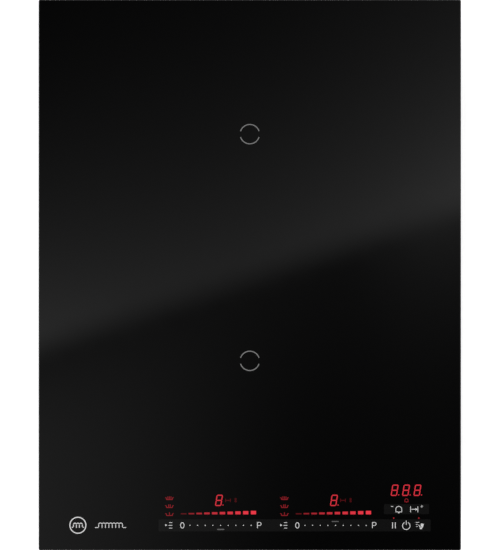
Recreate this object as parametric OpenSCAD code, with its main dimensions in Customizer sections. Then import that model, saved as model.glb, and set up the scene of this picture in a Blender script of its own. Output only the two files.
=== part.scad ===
// Two-zone built-in induction cooktop.
// Millimetres, +Z up, +Y to the rear, controls at the front.
// The origin is under the glass's centre, at the height of the housing's feet.

/* [Glass] */
// Width of the glass plate, left to right
glass_w = 384; // [384:1:461]
// Depth of the glass plate, front to rear
glass_d = 501; // [501:1:600]
// Thickness of the glass plate
glass_t = 4; // [4:0.5:6]
// Width of the bevel along the glass's top edges
glass_bevel = 0.9; // [0.5:0.1:1.5]
// Radius of the glass's corners in plan
glass_corner = 2; // [1.6:0.1:12]

/* [Housing] */
// Depth of the housing below the worktop's surface
housing_h = 50; // [50:1:60]
// Overhang of the glass past the steel frame, left and right
rim_side = 19; // [18:0.5:24]
// Overhang of the glass past the steel frame, front and rear
rim_end = 11.5; // [11.5:0.5:16]
// Thickness of the sheet steel
sheet = 1; // [0.8:0.1:1.2]
// Thickness of the foam seal under the glass's edge
seal_t = 2; // [1.5:0.1:3]

/* [Cooking zones] */
// Diameter of each induction coil's carrier
carrier_dia = 190; // [160:1:194]
// Distance of the front zone's centre from the front edge of the glass
front_zone_in = 172.5; // [170:0.5:175]
// Distance between the centres of the two zones
zone_pitch = 206; // [200:1:210]
// Height of the winding
winding_h = 3.8; // [3:0.1:4]

/* [Clamps] */
// Reach of a clamp's jaw from its screw
jaw_reach = 30; // [26:0.5:31]
// Distance of the clamps' screws from the middle of the cooktop, front to rear
clamp_y = 165; // [150:1:165]
// Diameter of a clamp's screw
clamp_screw_dia = 5; // [4:0.5:6]

/* [Fan] */
// Diameter of the fan wheel
wheel_dia = 92; // [80:1:100]
// Number of blades on the fan wheel
blade_count = 28; // [12:1:32]

/* [Hidden] */
$fn = 64;
fit_gap = 0.3;
cut_over = 1;

// Heights, from the feet up
floor_z = 2.5;
floor_top = floor_z + sheet;
board_z = floor_top + 6;
board_t = 1.6;
board_top = board_z + board_t;
glass_z = housing_h + seal_t;
bond_t = 1;
flange_z = glass_z - bond_t - sheet;
carrier_z = glass_z - 11;
carrier_floor = 1.5;
ferrite_z = carrier_z + carrier_floor;
ferrite_h = 3;
winding_z = ferrite_z + ferrite_h;
mat_t = 2.2;
mat_z = glass_z - mat_t;
plate_t = 1.5;
plate_top = carrier_z - 6;
plate_z = plate_top - plate_t;
connector_h = 9;
connector_top = board_top + connector_h;

// Plan of the frame and the tray
front_edge = -glass_d / 2;
frame_w = glass_w - 2 * rim_side;
frame_d = glass_d - 2 * rim_end;
nest_gap = 0.2;
tray_w = frame_w - 2 * (sheet + nest_gap);
tray_d = frame_d - 2 * (sheet + nest_gap);
tray_corner = 3;
tray_top = flange_z - 0.5;
skirt_z = flange_z - 12;
flange_side = 6;
flange_front = 4.5;
flange_rear = 14;
seal_inset = 1.5;
seal_w = 8;
foot_r = 11;
foot_x = tray_w / 2 - 14;
foot_y = tray_d / 2 - 16;

// Cooking zones
front_zone = [0, front_edge + front_zone_in];
rear_zone = [0, front_zone[1] + zone_pitch];
carrier_r = carrier_dia / 2;
carrier_wall = 1.5;
hub_r = 12;
hub_bottom = plate_z - 2.5;
winding_in = 24;
winding_out = carrier_r - 5;
ferrite_in = winding_in + 2;
ferrite_out = winding_out - 2;
ferrite_w = 14;
ferrite_count = 8;
spring_orbit = 70;
spring_count = 3;
spring_r = 6;
spring_turns = 4;
lead_r = 1.6;
lead_out = carrier_r + 7;
lead_spread = 4;
front_lead_angle = 40;
rear_lead_angle = -50;
sensor_r = 5;

// Clamps
clamp_in = 12;
clamp_x = tray_w / 2 - clamp_in;
pocket_in = 26;
pocket_behind = 12;
pocket_ahead = jaw_reach + 3;
shelf_z = 36;
screw_r = clamp_screw_dia / 2;
bore_gap = 0.05;
nut_r = screw_r + 2.5;
nut_flange_r = nut_r + 1.5;
nut_z = floor_z + 1.5;
nut_flange_t = 1.5;
nut_h = 5;
jaw_z = nut_z + nut_flange_t + fit_gap;
jaw_t = 3;
jaw_w = 17;
jaw_pad_h = 1.5;
clamp_head_r = 4.5;
clamp_head_h = 3;
clamp_head_z = 0.5;

// Housing screws, all alike
housing_screw_r = 2;
housing_screw_l = 4;
housing_head_r = 3.5;
housing_head_h = 1.5;
side_screw_y = [-210, -70, 70, 210];
skirt_screw_z = skirt_z + 5;

// Terminal box
terminal_x = 95;
terminal_y = tray_d / 2 - 48;
cover_w = 76;
cover_d = 56;
cover_screw_x = 33;
opening_w = 56;
opening_d = 44;
block_w = 50;
block_d = 26;
block_h = 18;
bush_r = 11;
bush_bore_r = 7;
bush_z = 20;

// Power board
board_x = 138;
board_front = -122;
board_rear = 92;
board_screw_x = 130;
board_screw_y = [-114, 84];
sink_left = -132;
sink_w = 70;
sink_front = -105;
sink_rear = 78;
sink_h = 20;
sink_base = 3;
sink_wall = 4;
fin_t = 1.5;
fin_pitch = 6;

// Fan
fan_x = -82;
fan_y = 160;
scroll_r = 54;
fan_wall = 1.5;
fan_h = 25;
fan_outlet_y = -54;
fan_outlet_right = 6;
inlet_r = 38;
fan_lug_orbit = 59;
fan_lug_angles = [60, 140, 330];
shaft_r = 1.5;
motor_r = 13;
motor_h = 11;
wheel_z = floor_top + 4;
wheel_plate_z = floor_top + 10;
wheel_plate_t = 1.5;

// Control unit, placed from the front edge of the glass
ui_left = -94;
ui_right = 167.6;
ui_front = front_edge + 15.5;
ui_rear = front_edge + 64;
ui_wall = 1.4;
ui_floor_z = glass_z - 13.5;
ui_board_z = ui_floor_z + 3;
ui_board_t = 1.6;
ui_board_top = ui_board_z + ui_board_t;
frame_pocket = 0.3;
zone_shift = 104.5;
slider_x = -61.6;
slider_y = front_edge + 22.6;
slider_pitch = 6.95;
slider_keys = 11;
key_r = 2.6;
menu_x = -73;
bars_x = -28.8;
bars_y = front_edge + 34;
bars_w = 70;
bars_d = 6;
digit_w = 12;
digit_d = 15;
digit_h = 8;
digit_x = -28.4;
digit_y = front_edge + 45.2;
digit_lamp_x = [-19.8, -12.9];
timer_x = 142.3;
timer_y = front_edge + 54.4;
timer_w = 34;
pan_x = -73;
pan_y = [front_edge + 32.8, front_edge + 40.1, front_edge + 47.3];
timer_key_x = [129.3, 135.4, 149.2, 156.2];
timer_key_y = front_edge + 37.4;
main_key_x = [131, 142.2, 155];

// ---------------------------------------------------------------- helpers

module rounded_rect(w, d, r) {
    square([w - 2 * r, d], center = true);
    square([w, d - 2 * r], center = true);
    for (sx = [-1, 1], sy = [-1, 1])
        translate([sx * (w / 2 - r), sy * (d / 2 - r)]) circle(r);
}

// A box from one corner to the opposite one
module block(low, high) {
    translate(low) cube(high - low);
}

// A tube along Z
module pipe(z, h, outer, inner) {
    translate([0, 0, z])
    difference() {
        cylinder(h = h, r = outer);
        translate([0, 0, -cut_over]) cylinder(h = h + 2 * cut_over, r = inner);
    }
}

function unit(v) = v / norm(v);

function spline_point(a, b, c, d, t) =
    0.5 * (2 * b + (c - a) * t + (2 * a - 5 * b + 4 * c - d) * t * t
        + (3 * b - a - 3 * c + d) * t * t * t);

// A smooth line through the route's points
function smooth_route(p, steps) = [
    for (i = [0 : len(p) - 2], s = [0 : steps - 1])
        spline_point(p[max(i - 1, 0)], p[i], p[i + 1], p[min(i + 2, len(p) - 1)], s / steps),
    p[len(p) - 1]
];

function headings(p) = [
    for (i = [0 : len(p) - 1]) unit(p[min(i + 1, len(p) - 1)] - p[max(i - 1, 0)])
];

// Each ring's side direction, carried along the line without twist
function carried_sides(h, i, side) =
    i >= len(h) ? [] :
    let (s = unit(side - (side * h[i]) * h[i]))
    concat([s], carried_sides(h, i + 1, s));

// A round tube of radius r along the points, with a flat face at each end
module swept_tube(p, r, sides = 8) {
    h = headings(p);
    start = abs(h[0][2]) < 0.9 ? cross(h[0], [0, 0, 1]) : [1, 0, 0];
    s = carried_sides(h, 0, start);
    rings = [
        for (i = [0 : len(p) - 1], j = [0 : sides - 1])
            p[i] + r * (cos(360 * j / sides) * s[i] + sin(360 * j / sides) * cross(h[i], s[i]))
    ];
    walls = [
        for (i = [0 : len(p) - 2], j = [0 : sides - 1])
            [
                i * sides + j, (i + 1) * sides + j,
                (i + 1) * sides + (j + 1) % sides, i * sides + (j + 1) % sides
            ]
    ];
    first = [for (j = [0 : sides - 1]) j];
    last = [for (j = [sides - 1 : -1 : 0]) (len(p) - 1) * sides + j];
    polyhedron(points = rings, faces = concat([first, last], walls), convexity = 6);
}

module spring(z, h, r, wire_r, turns) {
    steps = 12;
    swept_tube([
        for (i = [0 : turns * steps])
            [
                (r - wire_r) * cos(360 * i / steps),
                (r - wire_r) * sin(360 * i / steps),
                z + wire_r * 1.1 + (h - 2.2 * wire_r) * i / (turns * steps)
            ]
    ], wire_r, 6);
}

// A housing screw with its head's underside at the origin, pointing along -Z
module housing_screw() {
    cylinder(h = housing_head_h, r = housing_head_r);
    translate([0, 0, -housing_screw_l])
        cylinder(h = housing_screw_l + housing_head_h / 2, r = housing_screw_r);
}

module screw_hole(depth) {
    translate([0, 0, -depth]) cylinder(h = 2 * depth, r = housing_screw_r + bore_gap);
}

// The places of the screws that hold the frame to the tray, pointing inwards
module at_skirt_screws() {
    for (side = [-1, 1], y = side_screw_y)
        translate([side * frame_w / 2, y, skirt_screw_z]) rotate([0, side * 90, 0]) children();
}

module at_coils_springs() {
    for (i = [0 : spring_count - 1])
        rotate(90 + i * 360 / spring_count) translate([spring_orbit, 0]) children();
}

// ---------------------------------------------------------------- glass and frame

// The cutter for one bevel, along X through the plate's top edge at the origin
module bevel_cutter(length) {
    rotate([90, 0, 90])
    linear_extrude(length, center = true)
        polygon([
            [-glass_bevel, 0], [0, -glass_bevel], [cut_over, -glass_bevel],
            [cut_over, cut_over], [-glass_bevel, cut_over]
        ]);
}

module glass_top() {
    color("#101012")
    difference() {
        translate([0, 0, glass_z]) linear_extrude(glass_t)
            rounded_rect(glass_w, glass_d, glass_corner);
        for (turn = [0, 180])
            rotate(turn) translate([0, glass_d / 2, glass_z + glass_t]) bevel_cutter(2 * glass_w);
        for (turn = [90, 270])
            rotate(turn) translate([0, glass_w / 2, glass_z + glass_t]) bevel_cutter(2 * glass_d);
    }
}

// The opening inside the frame's flange, wider towards the controls
module frame_window() {
    low = [-frame_w / 2 + flange_side, -frame_d / 2 + flange_front];
    high = [frame_w / 2 - flange_side, frame_d / 2 - flange_rear];
    translate(low) square(high - low);
}

module glass_bond() {
    color("#2a2a2a")
    translate([0, 0, glass_z - bond_t]) linear_extrude(bond_t)
    difference() {
        rounded_rect(frame_w - 2, frame_d - 2, tray_corner);
        frame_window();
    }
}

module worktop_seal() {
    seal_outer = [glass_w - 2 * seal_inset, glass_d - 2 * seal_inset];
    color("#3a3a3a")
    translate([0, 0, housing_h]) linear_extrude(seal_t)
    difference() {
        rounded_rect(seal_outer[0], seal_outer[1], glass_corner);
        square([seal_outer[0] - 2 * seal_w, seal_outer[1] - 2 * seal_w], center = true);
    }
}

module support_frame() {
    color("#9aa0a4")
    difference() {
        union() {
            translate([0, 0, flange_z]) linear_extrude(sheet)
            difference() {
                rounded_rect(frame_w, frame_d, tray_corner + 1);
                frame_window();
            }
            translate([0, 0, skirt_z]) linear_extrude(flange_z - skirt_z + sheet / 2)
            difference() {
                rounded_rect(frame_w, frame_d, tray_corner + 1);
                rounded_rect(frame_w - 2 * sheet, frame_d - 2 * sheet, tray_corner);
            }
        }
        at_skirt_screws() screw_hole(3);
    }
}

// ---------------------------------------------------------------- tray

// The four clamp pockets: each child is drawn for the rear right one and mirrored
module at_clamps() {
    for (mx = [0, 1], my = [0, 1])
        mirror([mx, 0, 0]) mirror([0, my, 0]) children();
}

// A pocket's space, larger by grow on its closed sides
module pocket_space(grow) {
    block(
        [tray_w / 2 - pocket_in - grow, clamp_y - pocket_ahead - grow, -cut_over],
        [tray_w / 2 + cut_over, clamp_y + pocket_behind + grow, shelf_z + grow]
    );
}

// Slots along Y, side by side
module slot_row(x, y, count, pitch, w, l) {
    for (i = [0 : count - 1])
        translate([x + (i - (count - 1) / 2) * pitch, y]) rounded_rect(w, l, w / 2 - 0.01);
}

module floor_openings() {
    slot_w = 4;
    slot_pitch = 9;
    outlet_y = front_edge + 78;
    grille_w = 5.2;
    grille_pitch = 8.4;
    translate([fan_x, fan_y])
    intersection() {
        circle(inlet_r);
        for (i = [-4 : 4])
            translate([i * grille_pitch, 0]) square([grille_w, 2 * inlet_r], center = true);
    }
    slot_row(sink_left + sink_w / 2, outlet_y, 9, slot_pitch, slot_w, 52);
    slot_row(90, outlet_y, 7, slot_pitch, slot_w, 36);
    translate([terminal_x, terminal_y]) rounded_rect(opening_w, opening_d, 3);
    for (side = [-1, 1])
        translate([terminal_x + side * cover_screw_x, terminal_y])
            circle(housing_screw_r + bore_gap);
}

module bottom_tray() {
    inner_w = tray_w - 2 * sheet;
    inner_d = tray_d - 2 * sheet;
    side_slot = [6 * sheet, 8, 5];
    side_slot_z = 24;
    side_slot_pitch = 14;
    color("#8d9296")
    difference() {
        union() {
            translate([0, 0, floor_z]) linear_extrude(tray_top - floor_z)
                rounded_rect(tray_w, tray_d, tray_corner);
            for (sx = [-1, 1], sy = [-1, 1])
                translate([sx * foot_x, sy * foot_y]) cylinder(h = floor_z + sheet / 2, r = foot_r);
        }
        difference() {
            translate([0, 0, floor_top]) linear_extrude(tray_top)
                rounded_rect(inner_w, inner_d, tray_corner - sheet);
            at_clamps() pocket_space(sheet);
        }
        for (sx = [-1, 1], sy = [-1, 1])
            translate([sx * foot_x, sy * foot_y, sheet])
                cylinder(h = floor_top, r = foot_r - sheet);
        at_clamps() {
            pocket_space(0);
            translate([clamp_x, clamp_y, shelf_z - cut_over])
                cylinder(h = sheet + 2 * cut_over, r = screw_r + bore_gap);
        }
        linear_extrude(floor_top + cut_over) floor_openings();
        at_skirt_screws() screw_hole(5);
        at_plate_feet() screw_hole(5);
        at_fan_lugs() screw_hole(5);
        translate([terminal_x, tray_d / 2, bush_z]) rotate([90, 0, 0])
            cylinder(h = 10, r = bush_r - 2 + bore_gap, center = true);
        for (i = [-5 : 5], side = [-1, 1])
            translate([side * tray_w / 2, i * side_slot_pitch, side_slot_z])
                cube(side_slot, center = true);
    }
}

module housing_screws() {
    color("#b9bcbe") {
        at_skirt_screws() housing_screw();
        at_plate_feet() translate([0, 0, plate_t]) housing_screw();
        at_fan_lugs() translate([0, 0, fan_wall]) housing_screw();
        at_board_screws() housing_screw();
        for (side = [-1, 1])
            translate([terminal_x + side * cover_screw_x, terminal_y, housing_head_h + 0.2])
                rotate([180, 0, 0]) housing_screw();
    }
}

// ---------------------------------------------------------------- mains connection

module terminal_cover() {
    color("#26282a")
    difference() {
        union() {
            linear_extrude(floor_z) translate([terminal_x, terminal_y])
                rounded_rect(cover_w, cover_d, 4);
            translate([0, 0, floor_z - cut_over / 2]) linear_extrude(sheet + cut_over / 2)
            translate([terminal_x, terminal_y])
            difference() {
                rounded_rect(opening_w - 2 * fit_gap, opening_d - 2 * fit_gap, 2.7);
                rounded_rect(opening_w - 4, opening_d - 4, 1.5);
            }
        }
        for (side = [-1, 1])
            translate([terminal_x + side * cover_screw_x, terminal_y, -cut_over]) {
                cylinder(h = 2 * floor_z + cut_over, r = housing_screw_r + bore_gap);
                cylinder(h = housing_head_h + 0.2 + cut_over, r = housing_head_r + 0.5);
            }
    }
}

module terminal_block() {
    poles = 5;
    ear_w = 5;
    low = [terminal_x - block_w / 2, terminal_y - block_d / 2, floor_top];
    pitch = block_w / poles;
    color("#d8d4c8")
    difference() {
        union() {
            block(low, low + [block_w, block_d, block_h]);
            for (side = [0, 1])
                block(
                    low + [side * (block_w + ear_w) - ear_w, 8, 0],
                    low + [side * (block_w + ear_w), block_d - 8, 3]
                );
        }
        for (i = [0 : poles - 1]) {
            translate(low + [(i + 0.5) * pitch, block_d / 2 - 6, block_h - 8])
                cylinder(h = 10, r = 3);
            translate(low + [(i + 0.5) * pitch, block_d / 2, 9]) rotate([90, 0, 0])
                cylinder(h = block_d + 2, r = 2.4, center = true);
        }
    }
}

module cable_bush() {
    lip = 1.6;
    wall_out = tray_d / 2;
    color("#1d1d1f")
    translate([terminal_x, wall_out + lip, bush_z]) rotate([90, 0, 0])
    difference() {
        union() {
            cylinder(h = lip, r = bush_r);
            translate([0, 0, lip / 2]) cylinder(h = lip + sheet, r = bush_r - 2);
            translate([0, 0, lip + sheet]) cylinder(h = 6, r = bush_r);
        }
        translate([0, 0, -cut_over]) cylinder(h = 20, r = bush_bore_r);
    }
}

wire_steps = 4;
block_front = terminal_y - block_d / 2;
block_hole_z = floor_top + 9;
mains_plug_x = 108;

module mains_wires() {
    starts = [terminal_x - 10, terminal_x];
    for (i = [0, 1]) {
        plug = mains_plug_x + i * 8 - 4;
        color(i == 0 ? "#6b3f1f" : "#2f5f9f")
        swept_tube(smooth_route([
            [starts[i], block_front + 6, block_hole_z],
            [starts[i], block_front - 4, block_hole_z],
            [starts[i] + 2, block_front - 26, block_hole_z + 3],
            [plug, board_rear + 14, connector_top + 3],
            [plug, board_rear - 6, connector_top + 8],
            [plug, board_rear - 8, connector_top + 4],
            [plug, board_rear - 8, connector_top + 2],
            [plug, board_rear - 8, connector_top],
        ], wire_steps), lead_r);
    }
}

earth_lug = [60, 118];

module earth_wire() {
    start_x = terminal_x - 20;
    color("#7f9a2c")
    union() {
        swept_tube(smooth_route([
            [start_x, block_front + 6, block_hole_z],
            [start_x, block_front - 4, block_hole_z],
            [start_x - 4, block_front - 20, block_hole_z - 4],
            [earth_lug[0], earth_lug[1] + 14, floor_top + 2],
            [earth_lug[0], earth_lug[1] + 5, floor_top + 2],
        ], wire_steps), lead_r);
        translate([earth_lug[0], earth_lug[1], floor_top]) {
            cylinder(h = 1, r = 5);
            cylinder(h = 4, r = 3);
            translate([-2.5, 0, 0]) cube([5, 8, 3.2]);
        }
    }
}

// ---------------------------------------------------------------- power board

module at_board_screws() {
    for (x = [-board_screw_x, board_screw_x], y = board_screw_y)
        translate([x, y, board_top]) children();
}

module power_board() {
    color("#2f6b3a")
    difference() {
        block([-board_x, board_front, board_z], [board_x, board_rear, board_top]);
        at_board_screws() screw_hole(3);
    }
}

module board_insulator() {
    margin = 1.5;
    lip_h = 5;
    low = [-board_x - margin, board_front - margin, floor_top];
    high = [board_x + margin, board_rear + margin, floor_top + 1.2];
    color("#e8e6df")
    difference() {
        union() {
            block(low, high);
            for (y = [low[1], high[1] - 1])
                block([low[0], y, floor_top], [high[0], y + 1, floor_top + lip_h]);
            at_board_screws()
                translate([0, 0, floor_top - board_top]) cylinder(h = board_z - floor_top, r = 4.5);
        }
        at_board_screws() screw_hole(board_t + 4);
    }
}

module heat_sink() {
    right = sink_left + sink_w;
    fins = floor((sink_w - sink_wall) / fin_pitch);
    color("#b4b8bb") {
        block([sink_left, sink_front, board_top], [right, sink_rear, board_top + sink_base]);
        block(
            [right - sink_wall, sink_front, board_top],
            [right, sink_rear, board_top + sink_h]
        );
        for (i = [0 : fins - 1])
            block(
                [sink_left + i * fin_pitch, sink_front, board_top],
                [sink_left + i * fin_pitch + fin_t, sink_rear, board_top + sink_h]
            );
    }
}

transistor_y = [-90, -62, -34, -6, 22];
transistor_w = 16;
transistor_t = 5;
transistor_top = board_top + 19;
pin_pitch = 5;
pin_w = 1.2;
pin_t = 0.8;
rectifier_y = 57;
rectifier_w = 30;

// Transistors and the rectifier, clamped flat against the heat sink's inner wall
module power_transistors() {
    face = sink_left + sink_w;
    case_z = board_top + 2;
    color("#1b1b1d") {
        for (y = transistor_y) {
            block(
                [face, y - transistor_w / 2, case_z],
                [face + transistor_t, y + transistor_w / 2, transistor_top]
            );
            for (pin = [-1, 0, 1])
                translate([face + 2, y + pin * pin_pitch - pin_w / 2, board_top])
                    cube([pin_t, pin_w, case_z + 0.5 - board_top]);
        }
        block(
            [face, rectifier_y - rectifier_w / 2, board_top + 1],
            [face + transistor_t, rectifier_y + rectifier_w / 2, transistor_top]
        );
    }
}

// Each row of like capacitors: the middle across, the size, and the middles along the board
capacitor_rows = [
    [-38, [20, 32, 20], [62, 24, -14, -52]],
    [-6, [20, 32, 16], [62, 24, -14]],
    [41, [26, 16, 15], [-22, -48]],
];

module film_capacitors() {
    color("#8f2f28")
    for (row = capacitor_rows, y = row[2])
        translate([row[0] - row[1][0] / 2, y - row[1][1] / 2, board_top]) cube(row[1]);
}

choke_at = [108, 34];
choke_h = 14;
choke_r = 17;
choke_bore_r = 8;

module filter_choke() {
    color("#a8643a")
    translate(choke_at) pipe(board_top, choke_h, choke_r, choke_bore_r);
}

relay_x = 110;
relay_y = [-36, -66, -96];
relay_size = [28, 20, 16];

module relays() {
    color("#d9dadb")
    for (y = relay_y)
        translate([relay_x - relay_size[0] / 2, y - relay_size[1] / 2, board_top]) cube(relay_size);
}

function lead_end(zone, angle) = zone + lead_out * [cos(angle), sin(angle)];

front_plug = lead_end(front_zone, front_lead_angle);
rear_plug = lead_end(rear_zone, rear_lead_angle);
front_sensor_plug = [24, -92];
rear_sensor_plug = [18, 84];
fan_plug = [-40, 84];
ribbon_x = 60;
ribbon_w = 20;
ribbon_plug_y = -112;

module connector(at, w, d) {
    block([at[0] - w / 2, at[1] - d / 2, board_top], [at[0] + w / 2, at[1] + d / 2, connector_top]);
}

module board_connectors() {
    color("#e9e7e0") {
        for (plug = [front_plug, rear_plug])
            connector(plug, 14, 14);
        connector(front_sensor_plug, 8, 7);
        connector(rear_sensor_plug, 8, 7);
        connector(fan_plug, 9, 7);
        connector([ribbon_x, ribbon_plug_y], ribbon_w + 4, 7);
        connector([mains_plug_x, board_rear - 8], 20, 10);
    }
}

// ---------------------------------------------------------------- fan

module at_fan_lugs() {
    for (angle = fan_lug_angles)
        translate([fan_x, fan_y, floor_top]) rotate(angle) translate([fan_lug_orbit, 0, 0])
            children();
}

// Plan of the scroll: a circle with a straight outlet towards the heat sink
module scroll_plan(grow) {
    circle(scroll_r + grow);
    low = [-scroll_r - grow, fan_outlet_y - scroll_r / 20];
    translate(low) square([scroll_r + fan_outlet_right + 2 * grow, -low[1]]);
}

module fan_housing() {
    color("#33363a")
    difference() {
        union() {
            translate([fan_x, fan_y, floor_top]) linear_extrude(fan_h) scroll_plan(0);
            at_fan_lugs() cylinder(h = fan_wall, r = 6);
        }
        translate([fan_x, fan_y, floor_top + fan_wall]) linear_extrude(fan_h - 2 * fan_wall) {
            scroll_plan(-fan_wall);
            translate([-scroll_r + fan_wall, fan_outlet_y - 10])
                square([scroll_r + fan_outlet_right - 2 * fan_wall, 20]);
        }
        translate([fan_x, fan_y, 0]) cylinder(h = floor_top + 2 * fan_wall, r = inlet_r + 1);
        at_fan_lugs() screw_hole(5);
        at_fan_lugs() translate([0, 0, fan_wall])
            cylinder(h = housing_head_h + 1, r = housing_head_r + fit_gap);
    }
}

module fan_impeller() {
    wheel_r = wheel_dia / 2;
    blade_l = 11;
    ring_t = 1.5;
    ring_in = wheel_r - 13;
    wheel_top = floor_top + fan_h - 4;
    color("#4a4d50")
    translate([fan_x, fan_y, 0]) {
        translate([0, 0, wheel_plate_z]) cylinder(h = wheel_plate_t, r = wheel_r);
        for (i = [0 : blade_count - 1])
            rotate(i * 360 / blade_count)
                translate([wheel_r - blade_l / 2 - 1, 0, wheel_z + ring_t / 2]) rotate(32)
                    translate([-blade_l / 2, -0.5, 0]) cube([blade_l, 1, wheel_top - wheel_z - ring_t]);
        pipe(wheel_z, ring_t, wheel_r, ring_in);
        pipe(wheel_top - ring_t, ring_t, wheel_r, ring_in);
        translate([0, 0, wheel_plate_z - 3]) cylinder(h = 3.5, r = 5);
        translate([0, 0, wheel_plate_z + wheel_plate_t / 2])
            cylinder(h = floor_top + fan_h - 2.5 - wheel_plate_z - wheel_plate_t / 2, r = shaft_r);
    }
}

module fan_motor() {
    motor_z = floor_top + fan_h - fan_wall - motor_h;
    color("#77797b")
    translate([fan_x, fan_y, 0])
    difference() {
        translate([0, 0, motor_z]) cylinder(h = motor_h, r = motor_r);
        cylinder(h = floor_top + fan_h - fan_wall - 0.5, r = shaft_r + bore_gap);
    }
}

module fan_lead() {
    lead_top = floor_top + fan_h;
    start = [fan_x + 20, fan_y - 20];
    color("#222222")
    for (apart = [-1.6, 1.6])
        swept_tube(smooth_route([
            [start[0] + apart, start[1], lead_top],
            [start[0] + apart, start[1], lead_top + 0.8],
            [start[0] + apart, start[1], lead_top + 1.6],
            [fan_plug[0] - 8 + apart, fan_plug[1] + 34, lead_top + 1.6],
            [fan_plug[0] + apart, fan_plug[1] + 6, connector_top + 6],
            [fan_plug[0] + apart, fan_plug[1], connector_top + 4],
            [fan_plug[0] + apart, fan_plug[1], connector_top + 2],
            [fan_plug[0] + apart, fan_plug[1], connector_top],
        ], 3), 0.9);
}

// ---------------------------------------------------------------- coil plate

plate_x = tray_w / 2 - pocket_in - sheet - 2.8;
plate_front = ui_rear + 2.5;
plate_rear = rear_zone[1] + carrier_r + 4;
leg_y = [-100, 0, 100];
leg_w = 36;
leg_foot = 14;

module at_plate_feet() {
    for (side = [-1, 1], y = leg_y, along = [-1, 1])
        translate([side * (plate_x + leg_foot / 2), y + along * leg_w / 4, floor_top]) children();
}

module coil_plate() {
    vent_orbit = 46;
    color("#a9adb0")
    difference() {
        union() {
            block([-plate_x, plate_front, plate_z], [plate_x, plate_rear, plate_top]);
            for (side = [0, 1], y = leg_y)
                mirror([side, 0, 0]) {
                    block(
                        [plate_x - plate_t, y - leg_w / 2, floor_top],
                        [plate_x, y + leg_w / 2, plate_top]
                    );
                    block(
                        [plate_x - plate_t, y - leg_w / 2, floor_top],
                        [plate_x + leg_foot, y + leg_w / 2, floor_top + plate_t]
                    );
                }
        }
        for (zone = [front_zone, rear_zone])
            translate([zone[0], zone[1], plate_z - cut_over]) {
                cylinder(h = plate_t + 2 * cut_over, r = hub_r + 0.4);
                for (i = [0 : 5])
                    rotate(30 + i * 60) translate([vent_orbit, 0, 0])
                        cylinder(h = plate_t + 2 * cut_over, r = 12);
            }
        for (plug = [front_plug, rear_plug])
            translate([plug[0], plug[1], plate_z - cut_over])
                cylinder(h = plate_t + 2 * cut_over, r = 9);
        block(
            [ribbon_x - ribbon_w / 2 - 3, plate_front - cut_over, plate_z - cut_over],
            [ribbon_x + ribbon_w / 2 + 3, plate_front + 10, plate_top + cut_over]
        );
        at_plate_feet() screw_hole(3);
    }
}

// ---------------------------------------------------------------- coils

module coil_carrier(zone, lead_angle) {
    wall_top = mat_z;
    color("#1f2022")
    translate([zone[0], zone[1], 0])
    difference() {
        union() {
            translate([0, 0, carrier_z]) cylinder(h = carrier_floor, r = carrier_r);
            pipe(carrier_z, wall_top - carrier_z, carrier_r, carrier_r - carrier_wall);
            pipe(hub_bottom, wall_top - hub_bottom, hub_r, hub_r - 2);
            translate([0, 0, hub_bottom]) cylinder(h = carrier_z - hub_bottom + 0.5, r = hub_r);
            at_coils_springs()
                translate([0, 0, carrier_z - 2.5]) cylinder(h = 3, r = spring_r - 2);
        }
        translate([0, 0, hub_bottom - cut_over])
            cylinder(h = carrier_z + carrier_floor, r = 3);
        translate([0, 0, carrier_z + 1]) cylinder(h = 20, r = hub_r - 2);
        rotate(lead_angle) block(
            [carrier_r - 5, -7, ferrite_z],
            [carrier_r + 5, 7, glass_z]
        );
    }
}

module winding(zone) {
    color("#b5763c")
    translate([zone[0], zone[1], 0]) pipe(winding_z, winding_h, winding_out, winding_in);
}

module ferrites(zone) {
    color("#4b4d50")
    translate([zone[0], zone[1], 0])
    for (i = [0 : ferrite_count - 1])
        rotate((i + 0.5) * 360 / ferrite_count)
            block(
                [ferrite_in + 10, -ferrite_w / 2, ferrite_z],
                [ferrite_out, ferrite_w / 2, ferrite_z + ferrite_h]
            );
}

module coil_mat(zone) {
    color("#cfc9b8")
    translate([zone[0], zone[1], 0]) pipe(mat_z, mat_t, carrier_r, hub_r - 2);
}

sensor_h = 4;
sensor_stem_r = 2.4;
sensor_stem_h = 2.5;
sensor_seat = carrier_z + 1;
sensor_spring_r = 4.4;

module sensor(zone) {
    color("#e6e4dc")
    translate([zone[0], zone[1], 0]) {
        translate([0, 0, glass_z - sensor_h]) cylinder(h = sensor_h, r = sensor_r);
        translate([0, 0, glass_z - sensor_h - sensor_stem_h])
            cylinder(h = sensor_stem_h + 0.5, r = sensor_stem_r);
    }
}

module sensor_spring(zone) {
    color("#c9ccce")
    translate([zone[0], zone[1], 0])
        spring(sensor_seat, glass_z - sensor_h - sensor_seat, sensor_spring_r, 0.4, 5);
}

module coil_springs(zone) {
    color("#c9ccce")
    translate([zone[0], zone[1], 0])
    at_coils_springs() spring(plate_top, carrier_z - plate_top, spring_r, 0.6, spring_turns);
}

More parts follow.
